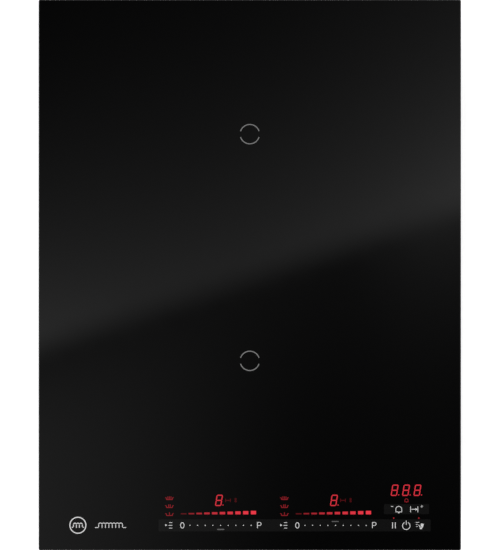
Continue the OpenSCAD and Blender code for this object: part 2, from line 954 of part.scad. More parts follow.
module coil_leads(zone, angle, sensor_plug) {
    mid_z = winding_z + winding_h / 2;
    color("#8c5a32")
    translate([zone[0], zone[1], 0]) rotate(angle)
    for (side = [-1, 1])
        swept_tube(smooth_route([
            [winding_out + 0.1, side * lead_spread, mid_z],
            [winding_out + 5, side * lead_spread, mid_z],
            [lead_out - 1, side * lead_spread, mid_z - 3],
            [lead_out, side * lead_spread, mid_z - 10],
            [lead_out, side * lead_spread, connector_top + 6],
            [lead_out, side * lead_spread, connector_top + 3],
            [lead_out, side * lead_spread, connector_top],
        ], 3), lead_r);
    color("#ded9cc")
    swept_tube(smooth_route([
        [zone[0], zone[1], hub_bottom],
        [zone[0], zone[1], hub_bottom - 1],
        [zone[0], zone[1], hub_bottom - 2],
        [(zone[0] + sensor_plug[0]) / 2, (zone[1] + sensor_plug[1]) / 2, connector_top + 5],
        [sensor_plug[0], sensor_plug[1], connector_top + 3],
        [sensor_plug[0], sensor_plug[1], connector_top + 1.5],
        [sensor_plug[0], sensor_plug[1], connector_top],
    ], 4), 1.1);
}

// ---------------------------------------------------------------- control unit

// Low and high ends of the control unit's outer plan
module ui_plan(inset) {
    translate([ui_left + inset, ui_front + inset])
        square([ui_right - ui_left - 2 * inset, ui_rear - ui_front - 2 * inset]);
}

module at_zone_controls() {
    for (shift = [0, zone_shift]) translate([shift, 0, 0]) children();
}

// The centre of every touch key
module at_keys() {
    at_zone_controls()
        for (i = [0 : slider_keys - 1])
            translate([slider_x + i * slider_pitch, slider_y]) children();
    at_zone_controls() translate([menu_x, slider_y]) children();
    for (x = main_key_x) translate([x, slider_y]) children();
    for (x = timer_key_x) translate([x, timer_key_y]) children();
}

// The centre of every single lamp
module at_lamps() {
    at_zone_controls() {
        for (y = pan_y) translate([pan_x, y]) children();
        for (x = digit_lamp_x) translate([x, digit_y]) children();
    }
    translate([timer_x, digit_y]) children();
}

// Plan of each display, larger by grow all round
module digit_plans(grow) {
    at_zone_controls()
        translate([digit_x, digit_y]) square([digit_w + grow, digit_d + grow], center = true);
    translate([timer_x, timer_y]) square([timer_w + grow, digit_d + grow], center = true);
}

module bar_plans(grow) {
    at_zone_controls()
        translate([bars_x, bars_y]) square([bars_w + grow, bars_d + grow], center = true);
}

module ui_carrier() {
    wall_top = flange_z - 0.6;
    leg_x = [-80, 10, 138];
    post_shift = 8;
    color("#2c2e31") {
        difference() {
            translate([0, 0, ui_floor_z]) linear_extrude(wall_top - ui_floor_z) ui_plan(-ui_wall);
            translate([0, 0, ui_floor_z + ui_wall]) linear_extrude(20) ui_plan(0);
            block(
                [ribbon_x - ribbon_w / 2 - 1, ui_rear - 3, ui_floor_z - cut_over],
                [ribbon_x + ribbon_w / 2 + 1, ui_rear + 3, ui_board_z]
            );
        }
        for (x = leg_x, y = [ui_front + 14, ui_rear - 12]) {
            translate([x, y, floor_top]) cylinder(h = ui_floor_z - floor_top + 0.5, r = 4);
            translate([x + post_shift, y, ui_floor_z]) cylinder(h = ui_board_z - ui_floor_z, r = 3);
        }
    }
}

module ui_board() {
    color("#1f5a34")
    translate([0, 0, ui_board_z]) linear_extrude(ui_board_t) ui_plan(frame_pocket);
}

module light_frame() {
    color("#18191b")
    translate([0, 0, ui_board_top]) linear_extrude(glass_z - ui_board_top)
    difference() {
        ui_plan(1);
        digit_plans(2 * frame_pocket);
        bar_plans(2 * frame_pocket);
        at_keys() circle(key_r + frame_pocket);
        at_lamps() circle(2.2);
    }
}

module digit_displays() {
    color("#3a1013")
    translate([0, 0, ui_board_top]) linear_extrude(digit_h) digit_plans(0);
}

module bar_displays() {
    color("#3a1013")
    translate([0, 0, ui_board_top]) linear_extrude(digit_h) bar_plans(0);
}

module status_leds() {
    color("#e8d9d9")
    translate([0, 0, ui_board_top])
    at_lamps() cylinder(h = 2, r = 1.5);
}

module touch_pads() {
    color("#55585b")
    translate([0, 0, ui_board_top])
    at_keys() cylinder(h = glass_z - ui_board_top, r = key_r);
}

// A flat cable from under the control board down to the power board
module ribbon_cable() {
    thick = 0.8;
    start_y = ui_rear - 1.6;
    drop_y = ui_rear + 8;
    top_z = ui_board_z - thick;
    low_z = connector_top + 2;
    color("#8f9396")
    translate([ribbon_x + ribbon_w / 2, 0, 0]) rotate([0, -90, 0])
    linear_extrude(ribbon_w) polygon([
        [ui_board_z, start_y - thick], [ui_board_z, start_y],
        [top_z, start_y],
        [top_z - 4, ui_rear + 2],
        [top_z - 4, drop_y + thick],
        [low_z + thick, drop_y + thick],
        [low_z + thick, ribbon_plug_y + thick / 2],
        [connector_top, ribbon_plug_y + thick / 2],
        [connector_top, ribbon_plug_y - thick / 2],
        [low_z, ribbon_plug_y - thick / 2],
        [low_z, drop_y],
        [top_z - 4 - thick, drop_y],
        [top_z - 4 - thick, ui_rear + 2],
        [top_z - 1, start_y - thick],
    ]);
}

// ---------------------------------------------------------------- clamps

// Draws a child made for the rear right clamp at the corner that the signs name
module at_corner(sx, sy) {
    mirror([sx < 0 ? 1 : 0, 0, 0]) mirror([0, sy < 0 ? 1 : 0, 0])
        translate([clamp_x, clamp_y, 0]) children();
}

module clamp_jaw(sx, sy) {
    tip_w = 11;
    pad_d = 5;
    color("#a3a7aa")
    at_corner(sx, sy)
    difference() {
        union() {
            translate([0, 0, jaw_z]) linear_extrude(jaw_t) {
                circle(jaw_w / 2);
                polygon([
                    [-jaw_w / 2, 0], [-tip_w / 2, -jaw_reach],
                    [tip_w / 2, -jaw_reach], [jaw_w / 2, 0]
                ]);
            }
            block(
                [-tip_w / 2, -jaw_reach, jaw_z],
                [tip_w / 2, pad_d - jaw_reach, jaw_z + jaw_t + jaw_pad_h]
            );
        }
        translate([0, 0, jaw_z - cut_over]) cylinder(h = 10, r = nut_r + bore_gap);
    }
}

module clamp_nut(sx, sy) {
    color("#8a8e91")
    at_corner(sx, sy)
    difference() {
        union() {
            translate([0, 0, nut_z]) cylinder(h = nut_flange_t, r = nut_flange_r);
            translate([0, 0, nut_z]) cylinder(h = nut_h, r = nut_r);
        }
        translate([0, 0, nut_z - cut_over]) cylinder(h = nut_h + 2 * cut_over, r = screw_r + bore_gap);
    }
}

module clamp_screw(sx, sy) {
    collar_r = screw_r + 2;
    collar_t = 1.2;
    slot_w = 1.2;
    color("#c3c6c8")
    at_corner(sx, sy)
    difference() {
        union() {
            translate([0, 0, clamp_head_z]) cylinder(h = clamp_head_h, r = clamp_head_r);
            translate([0, 0, clamp_head_z])
                cylinder(h = shelf_z + sheet + 1 - clamp_head_z, r = screw_r);
            translate([0, 0, shelf_z - fit_gap - collar_t]) cylinder(h = collar_t, r = collar_r);
            translate([0, 0, shelf_z + sheet + fit_gap]) cylinder(h = collar_t, r = collar_r);
        }
        for (turn = [0, 90])
            rotate(turn)
                translate([0, 0, clamp_head_z]) cube([5, slot_w, 3], center = true);
    }
}

glass_top();
glass_bond();
worktop_seal();
support_frame();
bottom_tray();
housing_screws();
terminal_cover();
terminal_block();
cable_bush();
mains_wires();
earth_wire();
power_board();
board_insulator();
heat_sink();
power_transistors();
film_capacitors();
filter_choke();
relays();
board_connectors();
fan_housing();
fan_impeller();
fan_motor();
fan_lead();
coil_plate();
coil_carrier(front_zone, front_lead_angle);  // front_coil_carrier
winding(front_zone);  // front_winding
ferrites(front_zone);  // front_ferrites
coil_mat(front_zone);  // front_coil_mat
sensor(front_zone);  // front_sensor
sensor_spring(front_zone);  // front_sensor_spring
coil_springs(front_zone);  // front_coil_springs
coil_leads(front_zone, front_lead_angle, front_sensor_plug);  // front_leads
coil_carrier(rear_zone, rear_lead_angle);  // rear_coil_carrier
winding(rear_zone);  // rear_winding
ferrites(rear_zone);  // rear_ferrites
coil_mat(rear_zone);  // rear_coil_mat
sensor(rear_zone);  // rear_sensor
sensor_spring(rear_zone);  // rear_sensor_spring
coil_springs(rear_zone);  // rear_coil_springs
coil_leads(rear_zone, rear_lead_angle, rear_sensor_plug);  // rear_leads
ui_board();
ui_carrier();
light_frame();
digit_displays();
bar_displays();
status_leds();
touch_pads();
ribbon_cable();
clamp_jaw(-1, -1);  // clamp_jaw_front_left
clamp_nut(-1, -1);  // clamp_nut_front_left
clamp_screw(-1, -1);  // clamp_screw_front_left
clamp_jaw(1, -1);  // clamp_jaw_front_right
clamp_nut(1, -1);  // clamp_nut_front_right
clamp_screw(1, -1);  // clamp_screw_front_right
clamp_jaw(-1, 1);  // clamp_jaw_rear_left
clamp_nut(-1, 1);  // clamp_nut_rear_left
clamp_screw(-1, 1);  // clamp_screw_rear_left
clamp_jaw(1, 1);  // clamp_jaw_rear_right
clamp_nut(1, 1);  // clamp_nut_rear_right
clamp_screw(1, 1);  // clamp_screw_rear_right
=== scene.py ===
import math

import bpy
from mathutils import Matrix, Vector


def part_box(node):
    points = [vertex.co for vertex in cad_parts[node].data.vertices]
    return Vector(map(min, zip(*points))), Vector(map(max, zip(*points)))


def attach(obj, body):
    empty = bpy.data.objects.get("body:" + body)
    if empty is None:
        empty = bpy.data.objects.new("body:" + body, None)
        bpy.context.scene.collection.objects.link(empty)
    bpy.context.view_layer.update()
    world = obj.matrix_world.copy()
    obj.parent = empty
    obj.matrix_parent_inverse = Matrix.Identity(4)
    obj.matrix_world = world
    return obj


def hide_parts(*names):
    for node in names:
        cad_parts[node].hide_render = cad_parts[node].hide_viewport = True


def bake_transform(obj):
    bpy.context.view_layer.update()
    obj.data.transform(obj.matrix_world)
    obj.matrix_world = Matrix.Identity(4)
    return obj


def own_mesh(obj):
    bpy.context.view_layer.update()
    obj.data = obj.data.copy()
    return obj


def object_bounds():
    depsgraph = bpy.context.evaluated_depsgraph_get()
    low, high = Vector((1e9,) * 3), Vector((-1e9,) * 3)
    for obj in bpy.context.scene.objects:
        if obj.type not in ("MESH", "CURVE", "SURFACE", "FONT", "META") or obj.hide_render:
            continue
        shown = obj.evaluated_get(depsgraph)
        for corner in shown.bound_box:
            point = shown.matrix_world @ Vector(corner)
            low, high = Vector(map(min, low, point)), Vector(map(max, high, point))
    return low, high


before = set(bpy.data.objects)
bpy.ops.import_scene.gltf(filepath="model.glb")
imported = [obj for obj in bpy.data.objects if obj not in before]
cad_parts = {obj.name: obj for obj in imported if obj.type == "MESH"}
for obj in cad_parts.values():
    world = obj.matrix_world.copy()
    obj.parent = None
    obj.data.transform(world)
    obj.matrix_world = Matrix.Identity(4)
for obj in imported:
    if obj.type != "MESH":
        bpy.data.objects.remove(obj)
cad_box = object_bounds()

mm = 0.001


# ---------------------------------------------------------------- pressed tray
# Hot-dip galvanised steel sheet, pressed to a deep tray with four standing feet,
# vents and a pocket for each clamp. It carries everything below the glass.

def deselect():
    """Clears the selection, so that the next operator acts on its own piece only."""
    bpy.ops.object.select_all(action="DESELECT")


def new_surface(name, colour, roughness, metallic=0.0):
    """A new material with its tree and its shader."""
    material = bpy.data.materials.new(name)
    material.use_nodes = True
    tree = material.node_tree
    shader = tree.nodes["Principled BSDF"]
    shader.inputs["Base Color"].default_value = (*colour, 1)
    shader.inputs["Roughness"].default_value = roughness
    shader.inputs["Metallic"].default_value = metallic
    return material, tree, shader


def pattern(tree, kind, scale, stretch=(1, 1, 1), turn=(0, 0, 0)):
    """A texture on the piece's own coordinates, stretched and turned if need be."""
    place = tree.nodes.new("ShaderNodeTexCoord")
    mapping = tree.nodes.new("ShaderNodeMapping")
    mapping.inputs["Scale"].default_value = stretch
    mapping.inputs["Rotation"].default_value = turn
    texture = tree.nodes.new(kind)
    if "Scale" in texture.inputs:
        texture.inputs["Scale"].default_value = scale
    tree.links.new(place.outputs["Object"], mapping.inputs["Vector"])
    tree.links.new(mapping.outputs["Vector"], texture.inputs["Vector"])
    return texture


def shades(tree, shader, value, dark, light, low=0.35, high=0.65):
    """Colours the surface from dark to light as a value runs from low to high."""
    blend = tree.nodes.new("ShaderNodeValToRGB")
    blend.color_ramp.elements[0].position = low
    blend.color_ramp.elements[0].color = (*dark, 1)
    blend.color_ramp.elements[1].position = high
    blend.color_ramp.elements[1].color = (*light, 1)
    tree.links.new(value, blend.inputs["Fac"])
    tree.links.new(blend.outputs["Color"], shader.inputs["Base Color"])
    return blend


def mottle(tree, shader, dark, light, scale):
    """Lets the colour wander between two shades in soft clouds."""
    return shades(tree, shader, pattern(tree, "ShaderNodeTexNoise", scale).outputs["Fac"], dark, light)


def spread(tree, value, low, high):
    """Maps a value from 0 to 1 onto the range from low to high."""
    mapped = tree.nodes.new("ShaderNodeMapRange")
    mapped.inputs["To Min"].default_value = low
    mapped.inputs["To Max"].default_value = high
    tree.links.new(value, mapped.inputs["Value"])
    return mapped.outputs["Result"]


def vary_roughness(tree, shader, scale, low, high):
    """Lets the roughness wander between two values."""
    cloud = pattern(tree, "ShaderNodeTexNoise", scale)
    tree.links.new(spread(tree, cloud.outputs["Fac"], low, high), shader.inputs["Roughness"])


def soft_edges(tree, shader, radius):
    """Rounds the sharp arrises by a small radius."""
    rounding = tree.nodes.new("ShaderNodeBevel")
    rounding.samples = 4
    rounding.inputs["Radius"].default_value = radius
    tree.links.new(rounding.outputs["Normal"], shader.inputs["Normal"])


def relief(tree, shader, height, depth):
    """A bump of the given depth, laid over rounded edges where the surface has them."""
    bump = tree.nodes.new("ShaderNodeBump")
    bump.inputs["Strength"].default_value = 1
    bump.inputs["Distance"].default_value = depth
    tree.links.new(height, bump.inputs["Height"])
    if shader.inputs["Normal"].links:
        tree.links.new(shader.inputs["Normal"].links[0].from_socket, bump.inputs["Normal"])
    tree.links.new(bump.outputs["Normal"], shader.inputs["Normal"])


def grain(tree, shader, scale, depth):
    """A fine random bump."""
    relief(tree, shader, pattern(tree, "ShaderNodeTexNoise", scale).outputs["Fac"], depth)


def dress(node, material):
    """Gives a built part its material."""
    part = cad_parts[node]
    part.data.materials.clear()
    part.data.materials.append(material)


def galvanised_steel(name, flower, dark, light):
    """Zinc coat with its crystal flowers, each a little lighter or darker than the next."""
    material, tree, shader = new_surface(name, light, 0.35, 1.0)
    crystals = pattern(tree, "ShaderNodeTexVoronoi", 1 / flower)
    crystals.inputs["Randomness"].default_value = 1
    tone = tree.nodes.new("ShaderNodeSeparateColor")
    tree.links.new(crystals.outputs["Color"], tone.inputs["Color"])
    shades(tree, shader, tone.outputs["Red"], dark, light, 0.0, 1.0)
    tree.links.new(spread(tree, tone.outputs["Green"], 0.33, 0.42), shader.inputs["Roughness"])
    soft_edges(tree, shader, 0.5 * mm)
    grain(tree, shader, 1500, 0.012 * mm)
    return material


tray_steel = galvanised_steel("galvanised_tray_steel", 3.2 * mm, (0.4, 0.41, 0.415), (0.5, 0.51, 0.515))
dress("bottom_tray", tray_steel)


# ---------------------------------------------------------------- screws
# Pan-head machine screws with a cross recess, zinc-plated steel. They hold the
# tray to the frame and the fan, board, coil plate and cover to the tray.

def solids_of(node):
    """The points of each separate solid in a built part, from left to right."""
    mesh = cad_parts[node].data
    leader = {}

    def first_of(key):
        while leader[key] != key:
            leader[key] = leader[leader[key]]
            key = leader[key]
        return key

    for face in mesh.polygons:
        keys = [tuple(round(c * 1e6) for c in mesh.vertices[v].co) for v in face.vertices]
        for key in keys:
            leader.setdefault(key, key)
        for key in keys[1:]:
            leader[first_of(key)] = first_of(keys[0])
    groups = {}
    for key in leader:
        groups.setdefault(first_of(key), []).append(Vector(key) * 1e-6)
    return sorted(groups.values(), key=lambda points: (min(p.x for p in points), min(p.y for p in points)))


def box_of(points):
    """The lowest and highest corners of some points."""
    low = Vector([min(p[axis] for p in points) for axis in range(3)])
    high = Vector([max(p[axis] for p in points) for axis in range(3)])
    return low, high


def plated_steel(name, colour, roughness):
    """Bright zinc plating, a little cloudy."""
    material, tree, shader = new_surface(name, colour, roughness, 1.0)
    mottle(tree, shader, [0.82 * c for c in colour], colour, 500)
    vary_roughness(tree, shader, 900, roughness - 0.07, roughness + 0.1)
    soft_edges(tree, shader, 0.15 * mm)
    return material


def active(piece):
    """Makes one object the only one that is selected."""
    deselect()
    piece.select_set(True)
    bpy.context.view_layer.objects.active = piece
    return piece


def pick_faces(piece, wanted):
    """Selects the faces for which wanted(centre, normal) is true, and enters edit mode."""
    active(piece)
    bpy.ops.object.mode_set(mode="EDIT")
    bpy.ops.mesh.select_mode(type="FACE")
    bpy.ops.mesh.select_all(action="DESELECT")
    bpy.ops.object.mode_set(mode="OBJECT")
    for face in piece.data.polygons:
        face.select = wanted(face.center, face.normal)
    bpy.ops.object.mode_set(mode="EDIT")


def pick_edges(piece, wanted):
    """Selects the edges for which wanted(one end, other end) is true, and enters edit mode."""
    active(piece)
    bpy.ops.object.mode_set(mode="EDIT")
    bpy.ops.mesh.select_mode(type="EDGE")
    bpy.ops.mesh.select_all(action="DESELECT")
    bpy.ops.object.mode_set(mode="OBJECT")
    for edge in piece.data.edges:
        a, b = (piece.data.vertices[v].co for v in edge.vertices)
        edge.select = wanted(a, b)
    bpy.ops.object.mode_set(mode="EDIT")


def object_mode():
    """Leaves edit mode."""
    bpy.ops.object.mode_set(mode="OBJECT")


def joined(parts):
    """Joins the parts into one object."""
    deselect()
    for part in parts:
        part.select_set(True)
    bpy.context.view_layer.objects.active = parts[0]
    if len(parts) > 1:
        bpy.ops.object.join()
    return parts[0]


def copy_at(piece, place):
    """A copy with its own mesh, moved by a matrix."""
    copy = piece.copy()
    copy.data = piece.data.copy()
    bpy.context.collection.objects.link(copy)
    copy.data.transform(place)
    return copy


def cut(piece, tool):
    """Cuts one mesh away from another and throws the cutter away."""
    active(piece)
    boolean = piece.modifiers.new("cut", "BOOLEAN")
    boolean.operation = "DIFFERENCE"
    boolean.object = tool
    bpy.ops.object.modifier_apply(modifier=boolean.name)
    bpy.data.objects.remove(tool)
    return piece


def block(low, high):
    """A plain block between two corners, with its place in its mesh."""
    deselect()
    bpy.ops.mesh.primitive_cube_add(size=1)
    box = bpy.context.object
    middle = (low + high) / 2
    box.data.transform(Matrix.Translation(middle) @ Matrix.Diagonal((*(high - low), 1)))
    return box


def centred_block(x, y, z, wide, deep, tall):
    """A block by its centre and size."""
    half = Vector((wide, deep, tall)) / 2
    middle = Vector((x, y, z))
    return block(middle - half, middle + half)


def rod(x, y, low, high, radius, sides=32):
    """An upright round bar from one height to another."""
    deselect()
    bpy.ops.mesh.primitive_cylinder_add(vertices=sides, radius=radius, depth=high - low)
    bar = bpy.context.object
    bar.data.transform(Matrix.Translation((x, y, (low + high) / 2)))
    return bar


def finish_piece(piece, name, body, slot, material, *nodes):
    """Names and finishes a piece; it rides on a body, if one is given, for its CAD nodes."""
    active(piece)
    piece.name = name
    piece.data.name = name
    piece.data.materials.clear()
    piece.data.materials.append(material)
    if body:
        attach(piece, body)
    if nodes:
        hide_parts(*nodes)
    return piece


def smooth(piece, angle=35):
    """Shades a piece smooth, apart from its sharper edges."""
    active(piece)
    bpy.ops.object.shade_smooth_by_angle(angle=math.radians(angle))
    return piece


def pan_head_screw(head_r, head_h, shank_r, length):
    """One screw along Z, its head's underside at 0 and its shank pointing down."""
    screw = rod(0, 0, 0, head_h, head_r)
    pick_edges(screw, lambda a, b: min(a.z, b.z) > head_h - 1e-6)
    bpy.ops.mesh.bevel(offset=0.55 * head_h, segments=4, affect="EDGES")
    object_mode()
    pick_faces(screw, lambda centre, normal: normal.z < -0.9)
    bpy.ops.mesh.inset(thickness=head_r - shank_r)
    bpy.ops.mesh.extrude_region_move(TRANSFORM_OT_translate={"value": (0, 0, -length)})
    object_mode()
    depth = 0.6 * head_h
    for wide, deep in ((1.15 * head_r, 0.26 * head_r), (0.26 * head_r, 1.15 * head_r)):
        cut(screw, centred_block(0, 0, head_h, wide, deep, 2 * depth))
    return smooth(screw)


screw_steel = plated_steel("plated_screw_steel", (0.66, 0.67, 0.68), 0.26)
screw_head_h = 1.5 * mm
screw_points = solids_of("housing_screws")
low, high = box_of(screw_points[0])
screw_head_r = (high.y - low.y) / 2
screw_length = high.x - low.x - screw_head_h
housing_screw = pan_head_screw(screw_head_r, screw_head_h, 2 * mm, screw_length)


def head_side(points, axis):
    """Which end of a screw its head is at, 1 or -1 along its axis."""
    low, high = box_of(points)
    middle = (low + high) / 2
    rim = [p for p in points if (p - middle).length_squared
           - (p - middle)[axis] ** 2 > (0.95 * screw_head_r) ** 2]
    return 1 if sum(p[axis] for p in rim) > len(rim) * middle[axis] else -1


screws = []
for points in screw_points:
    low, high = box_of(points)
    size = high - low
    axis = min(range(3), key=lambda i: size[i])
    side = head_side(points, axis)
    pointing = Vector([side * (i == axis) for i in range(3)])
    seat = (low + high) / 2
    seat[axis] = (high if side > 0 else low)[axis] - side * screw_head_h
    turn = pointing.to_track_quat("Z", "Y").to_matrix().to_4x4()
    screws.append(copy_at(housing_screw, Matrix.Translation(seat) @ turn))
bpy.data.objects.remove(housing_screw)
finish_piece(joined(screws), "pan_head_screws", "housing", "zinc_steel", screw_steel, "housing_screws")


# ---------------------------------------------------------------- mains connection
# A moulded terminal block behind a cover under the tray, a moulded bush in the
# rear wall for the cable, and single-core wires to the power board.

def moulded_plastic(name, colour, roughness, texture=0.02):
    """Moulded plastic with the fine spark texture of its tool."""
    material, tree, shader = new_surface(name, colour, roughness)
    mottle(tree, shader, [0.86 * c for c in colour], colour, 60)
    vary_roughness(tree, shader, 300, roughness - 0.08, roughness + 0.08)
    soft_edges(tree, shader, 0.3 * mm)
    grain(tree, shader, 2500, texture * mm)
    return material


black_nylon = moulded_plastic("black_nylon", (0.022, 0.022, 0.024), 0.5)
dress("terminal_cover", black_nylon)
dress("cable_bush", black_nylon)
dress("terminal_block", moulded_plastic("cream_terminal_nylon", (0.68, 0.64, 0.52), 0.45))


def wire_jacket(name, colour):
    """Smooth PVC over a stranded core."""
    material, tree, shader = new_surface(name, colour, 0.38)
    mottle(tree, shader, [0.88 * c for c in colour], colour, 120)
    grain(tree, shader, 900, 0.02 * mm)
    return material


def merged_copy(node):
    """A closed, smooth copy of a built part's mesh."""
    copy = bpy.data.objects.new(node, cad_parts[node].data.copy())
    bpy.context.collection.objects.link(copy)
    active(copy)
    bpy.ops.object.mode_set(mode="EDIT")
    bpy.ops.mesh.select_all(action="SELECT")
    bpy.ops.mesh.remove_doubles(threshold=1e-6)
    object_mode()
    return smooth(copy, 50)


merged_copy("mains_wires")
bpy.ops.object.mode_set(mode="EDIT")
bpy.ops.mesh.select_all(action="SELECT")
bpy.ops.mesh.separate(type="LOOSE")
object_mode()
live_wire, neutral_wire = sorted(
    bpy.context.selected_objects, key=lambda wire: min(v.co.x for v in wire.data.vertices))
finish_piece(live_wire, "brown_mains_wire", "housing", "wire_colours",
             wire_jacket("brown_pvc", (0.16, 0.06, 0.025)), "mains_wires")
finish_piece(neutral_wire, "blue_mains_wire", "housing", "wire_colours",
             wire_jacket("blue_pvc", (0.03, 0.12, 0.42)), "mains_wires")


def earth_jacket():
    """Green PVC with yellow stripes."""
    material, tree, shader = new_surface("green_yellow_pvc", (0.06, 0.3, 0.05), 0.38)
    stripes = pattern(tree, "ShaderNodeTexWave", 1 / (9 * mm), (1, 0.35, 0.35))
    shades(tree, shader, stripes.outputs["Fac"], (0.05, 0.28, 0.05), (0.75, 0.62, 0.04), 0.46, 0.54)
    grain(tree, shader, 900, 0.02 * mm)
    return material


dress("earth_wire", earth_jacket())


# ---------------------------------------------------------------- power board
# Epoxy board under a green solder mask, screwed to posts on a white insulating
# tray. Its copper runs show through the mask and its joints are tinned.

def printed_board(name, mask, copper, pitch):
    """Solder mask over copper runs and copper areas, with tinned joints between them."""
    material, tree, shader = new_surface(name, mask, 0.3)
    runs = pattern(tree, "ShaderNodeTexBrick", 1 / (4 * pitch), (1, 1, 0.0), (0, 0, math.pi / 4))
    runs.squash = 2.2
    runs.squash_frequency = 3
    runs.inputs["Mortar Size"].default_value = 0.022
    runs.inputs["Mortar Smooth"].default_value = 0.1
    runs.inputs["Color1"].default_value = (0, 0, 0, 1)
    runs.inputs["Color2"].default_value = (0.12, 0.12, 0.12, 1)
    runs.inputs["Mortar"].default_value = (1, 1, 1, 1)
    areas = pattern(tree, "ShaderNodeTexNoise", 0.12 / pitch, (1, 1, 0.0))
    poured = tree.nodes.new("ShaderNodeMapRange")
    poured.inputs["From Min"].default_value = 0.5
    poured.inputs["From Max"].default_value = 0.52
    poured.inputs["To Max"].default_value = 0.45
    tree.links.new(areas.outputs["Fac"], poured.inputs["Value"])
    copper_here = tree.nodes.new("ShaderNodeMath")
    copper_here.operation = "MAXIMUM"
    tree.links.new(poured.outputs["Result"], copper_here.inputs[0])
    tree.links.new(runs.outputs["Color"], copper_here.inputs[1])
    shades(tree, shader, copper_here.outputs[0], mask, copper, 0.1, 0.9)
    joints = pattern(tree, "ShaderNodeTexVoronoi", 1 / pitch, (1, 1, 0.0))
    tinned = tree.nodes.new("ShaderNodeMapRange")
    tinned.inputs["From Min"].default_value = 0.16
    tinned.inputs["From Max"].default_value = 0.12
    tree.links.new(joints.outputs["Distance"], tinned.inputs["Value"])
    under = shader.inputs["Base Color"].links[0].from_socket
    tin = tree.nodes.new("ShaderNodeMix")
    tin.data_type = "RGBA"
    tree.links.new(tinned.outputs["Result"], tin.inputs[0])
    tree.links.new(under, tin.inputs[6])
    tin.inputs[7].default_value = (0.5, 0.5, 0.48, 1)
    tree.links.new(tin.outputs[2], shader.inputs["Base Color"])
    relief(tree, shader, copper_here.outputs[0], 0.04 * mm)
    return material


mask_green = (0.01, 0.075, 0.035)
copper_green = (0.03, 0.14, 0.055)
dress("power_board", printed_board("green_power_board", mask_green, copper_green, 3.6 * mm))
dress("board_insulator", moulded_plastic("white_insulating_sheet", (0.75, 0.74, 0.7), 0.55, 0.01))


def extruded_aluminium(name, colour, along):
    """Extruded or rolled aluminium with fine lines along one direction."""
    material, tree, shader = new_surface(name, colour, 0.32, 1.0)
    stretch = [1, 1, 1]
    stretch[along] = 0.02
    lines = pattern(tree, "ShaderNodeTexNoise", 1800, stretch)
    shades(tree, shader, lines.outputs["Fac"], [0.85 * c for c in colour], colour)
    tree.links.new(spread(tree, lines.outputs["Fac"], 0.25, 0.42), shader.inputs["Roughness"])
    soft_edges(tree, shader, 0.2 * mm)
    relief(tree, shader, lines.outputs["Fac"], 0.006 * mm)
    return material


dress("heat_sink", extruded_aluminium("extruded_sink_aluminium", (0.72, 0.73, 0.74), 1))


def rounded_block(low, high, edge, steps=3):
    """A moulded block whose edges are all rounded."""
    piece = block(low, high)
    active(piece)
    bpy.ops.object.mode_set(mode="EDIT")
    bpy.ops.mesh.select_all(action="SELECT")
    bpy.ops.mesh.bevel(offset=edge, segments=steps, affect="EDGES")
    object_mode()
    return smooth(piece, 50)


# Power transistors and the bridge: epoxy bodies on a tinned tab, on three legs,
# clipped to the thick wall of the heat sink.
leg_h = 5 * mm
leg_w = 1.2 * mm
leg_t = 0.6 * mm
leg_share = 0.32
cases = []
legs = []
for points in solids_of("power_transistors"):
    low, high = box_of(points)
    case = rounded_block(Vector((low.x, low.y, low.z + leg_h)), high, 0.5 * mm)
    middle = (low + high) / 2
    pick_faces(case, lambda centre, normal, x=high.x: centre.x > x - 1e-5 and normal.x > 0.9)
    bpy.ops.mesh.inset(thickness=2.2 * mm, depth=-0.3 * mm)
    object_mode()
    cases.append(case)
    for i in (-1, 0, 1):
        legs.append(centred_block(middle.x, middle.y + i * leg_share * (high.y - low.y),
                                  low.z + leg_h / 2, leg_t, leg_w, leg_h))
moulded_epoxy = moulded_plastic("moulded_black_epoxy", (0.018, 0.018, 0.02), 0.42, 0.01)
tinned_legs = plated_steel("tinned_legs", (0.6, 0.6, 0.58), 0.3)
finish_piece(joined(cases), "transistor_cases", "housing", "moulded_black", moulded_epoxy,
             "power_transistors")
finish_piece(joined(legs), "transistor_legs", "housing", "zinc_steel", tinned_legs)

# Film capacitors: wound film in a red flame-retardant box, filled with resin.
film_boxes = []
for points in solids_of("film_capacitors"):
    low, high = box_of(points)
    film_boxes.append(rounded_block(low, high, 0.9 * mm))
red_box = moulded_plastic("red_capacitor_box", (0.42, 0.045, 0.025), 0.33, 0.01)
finish_piece(joined(film_boxes), "capacitor_boxes", "housing", "capacitor_red", red_box, "film_capacitors")

# Relays: sealed white cases with a vent nib at one corner.
relay_cases = []
for points in solids_of("relays"):
    low, high = box_of(points)
    relay_cases.append(rounded_block(low, Vector((high.x, high.y, high.z - 0.4 * mm)), 0.6 * mm))
    relay_cases.append(rod(low.x + 2.5 * mm, low.y + 2.5 * mm, high.z - 0.6 * mm, high.z, 0.8 * mm, 16))
finish_piece(joined(relay_cases), "relay_cases", "housing", "relay_white",
             moulded_plastic("relay_case_plastic", (0.74, 0.75, 0.76), 0.38, 0.01), "relays")

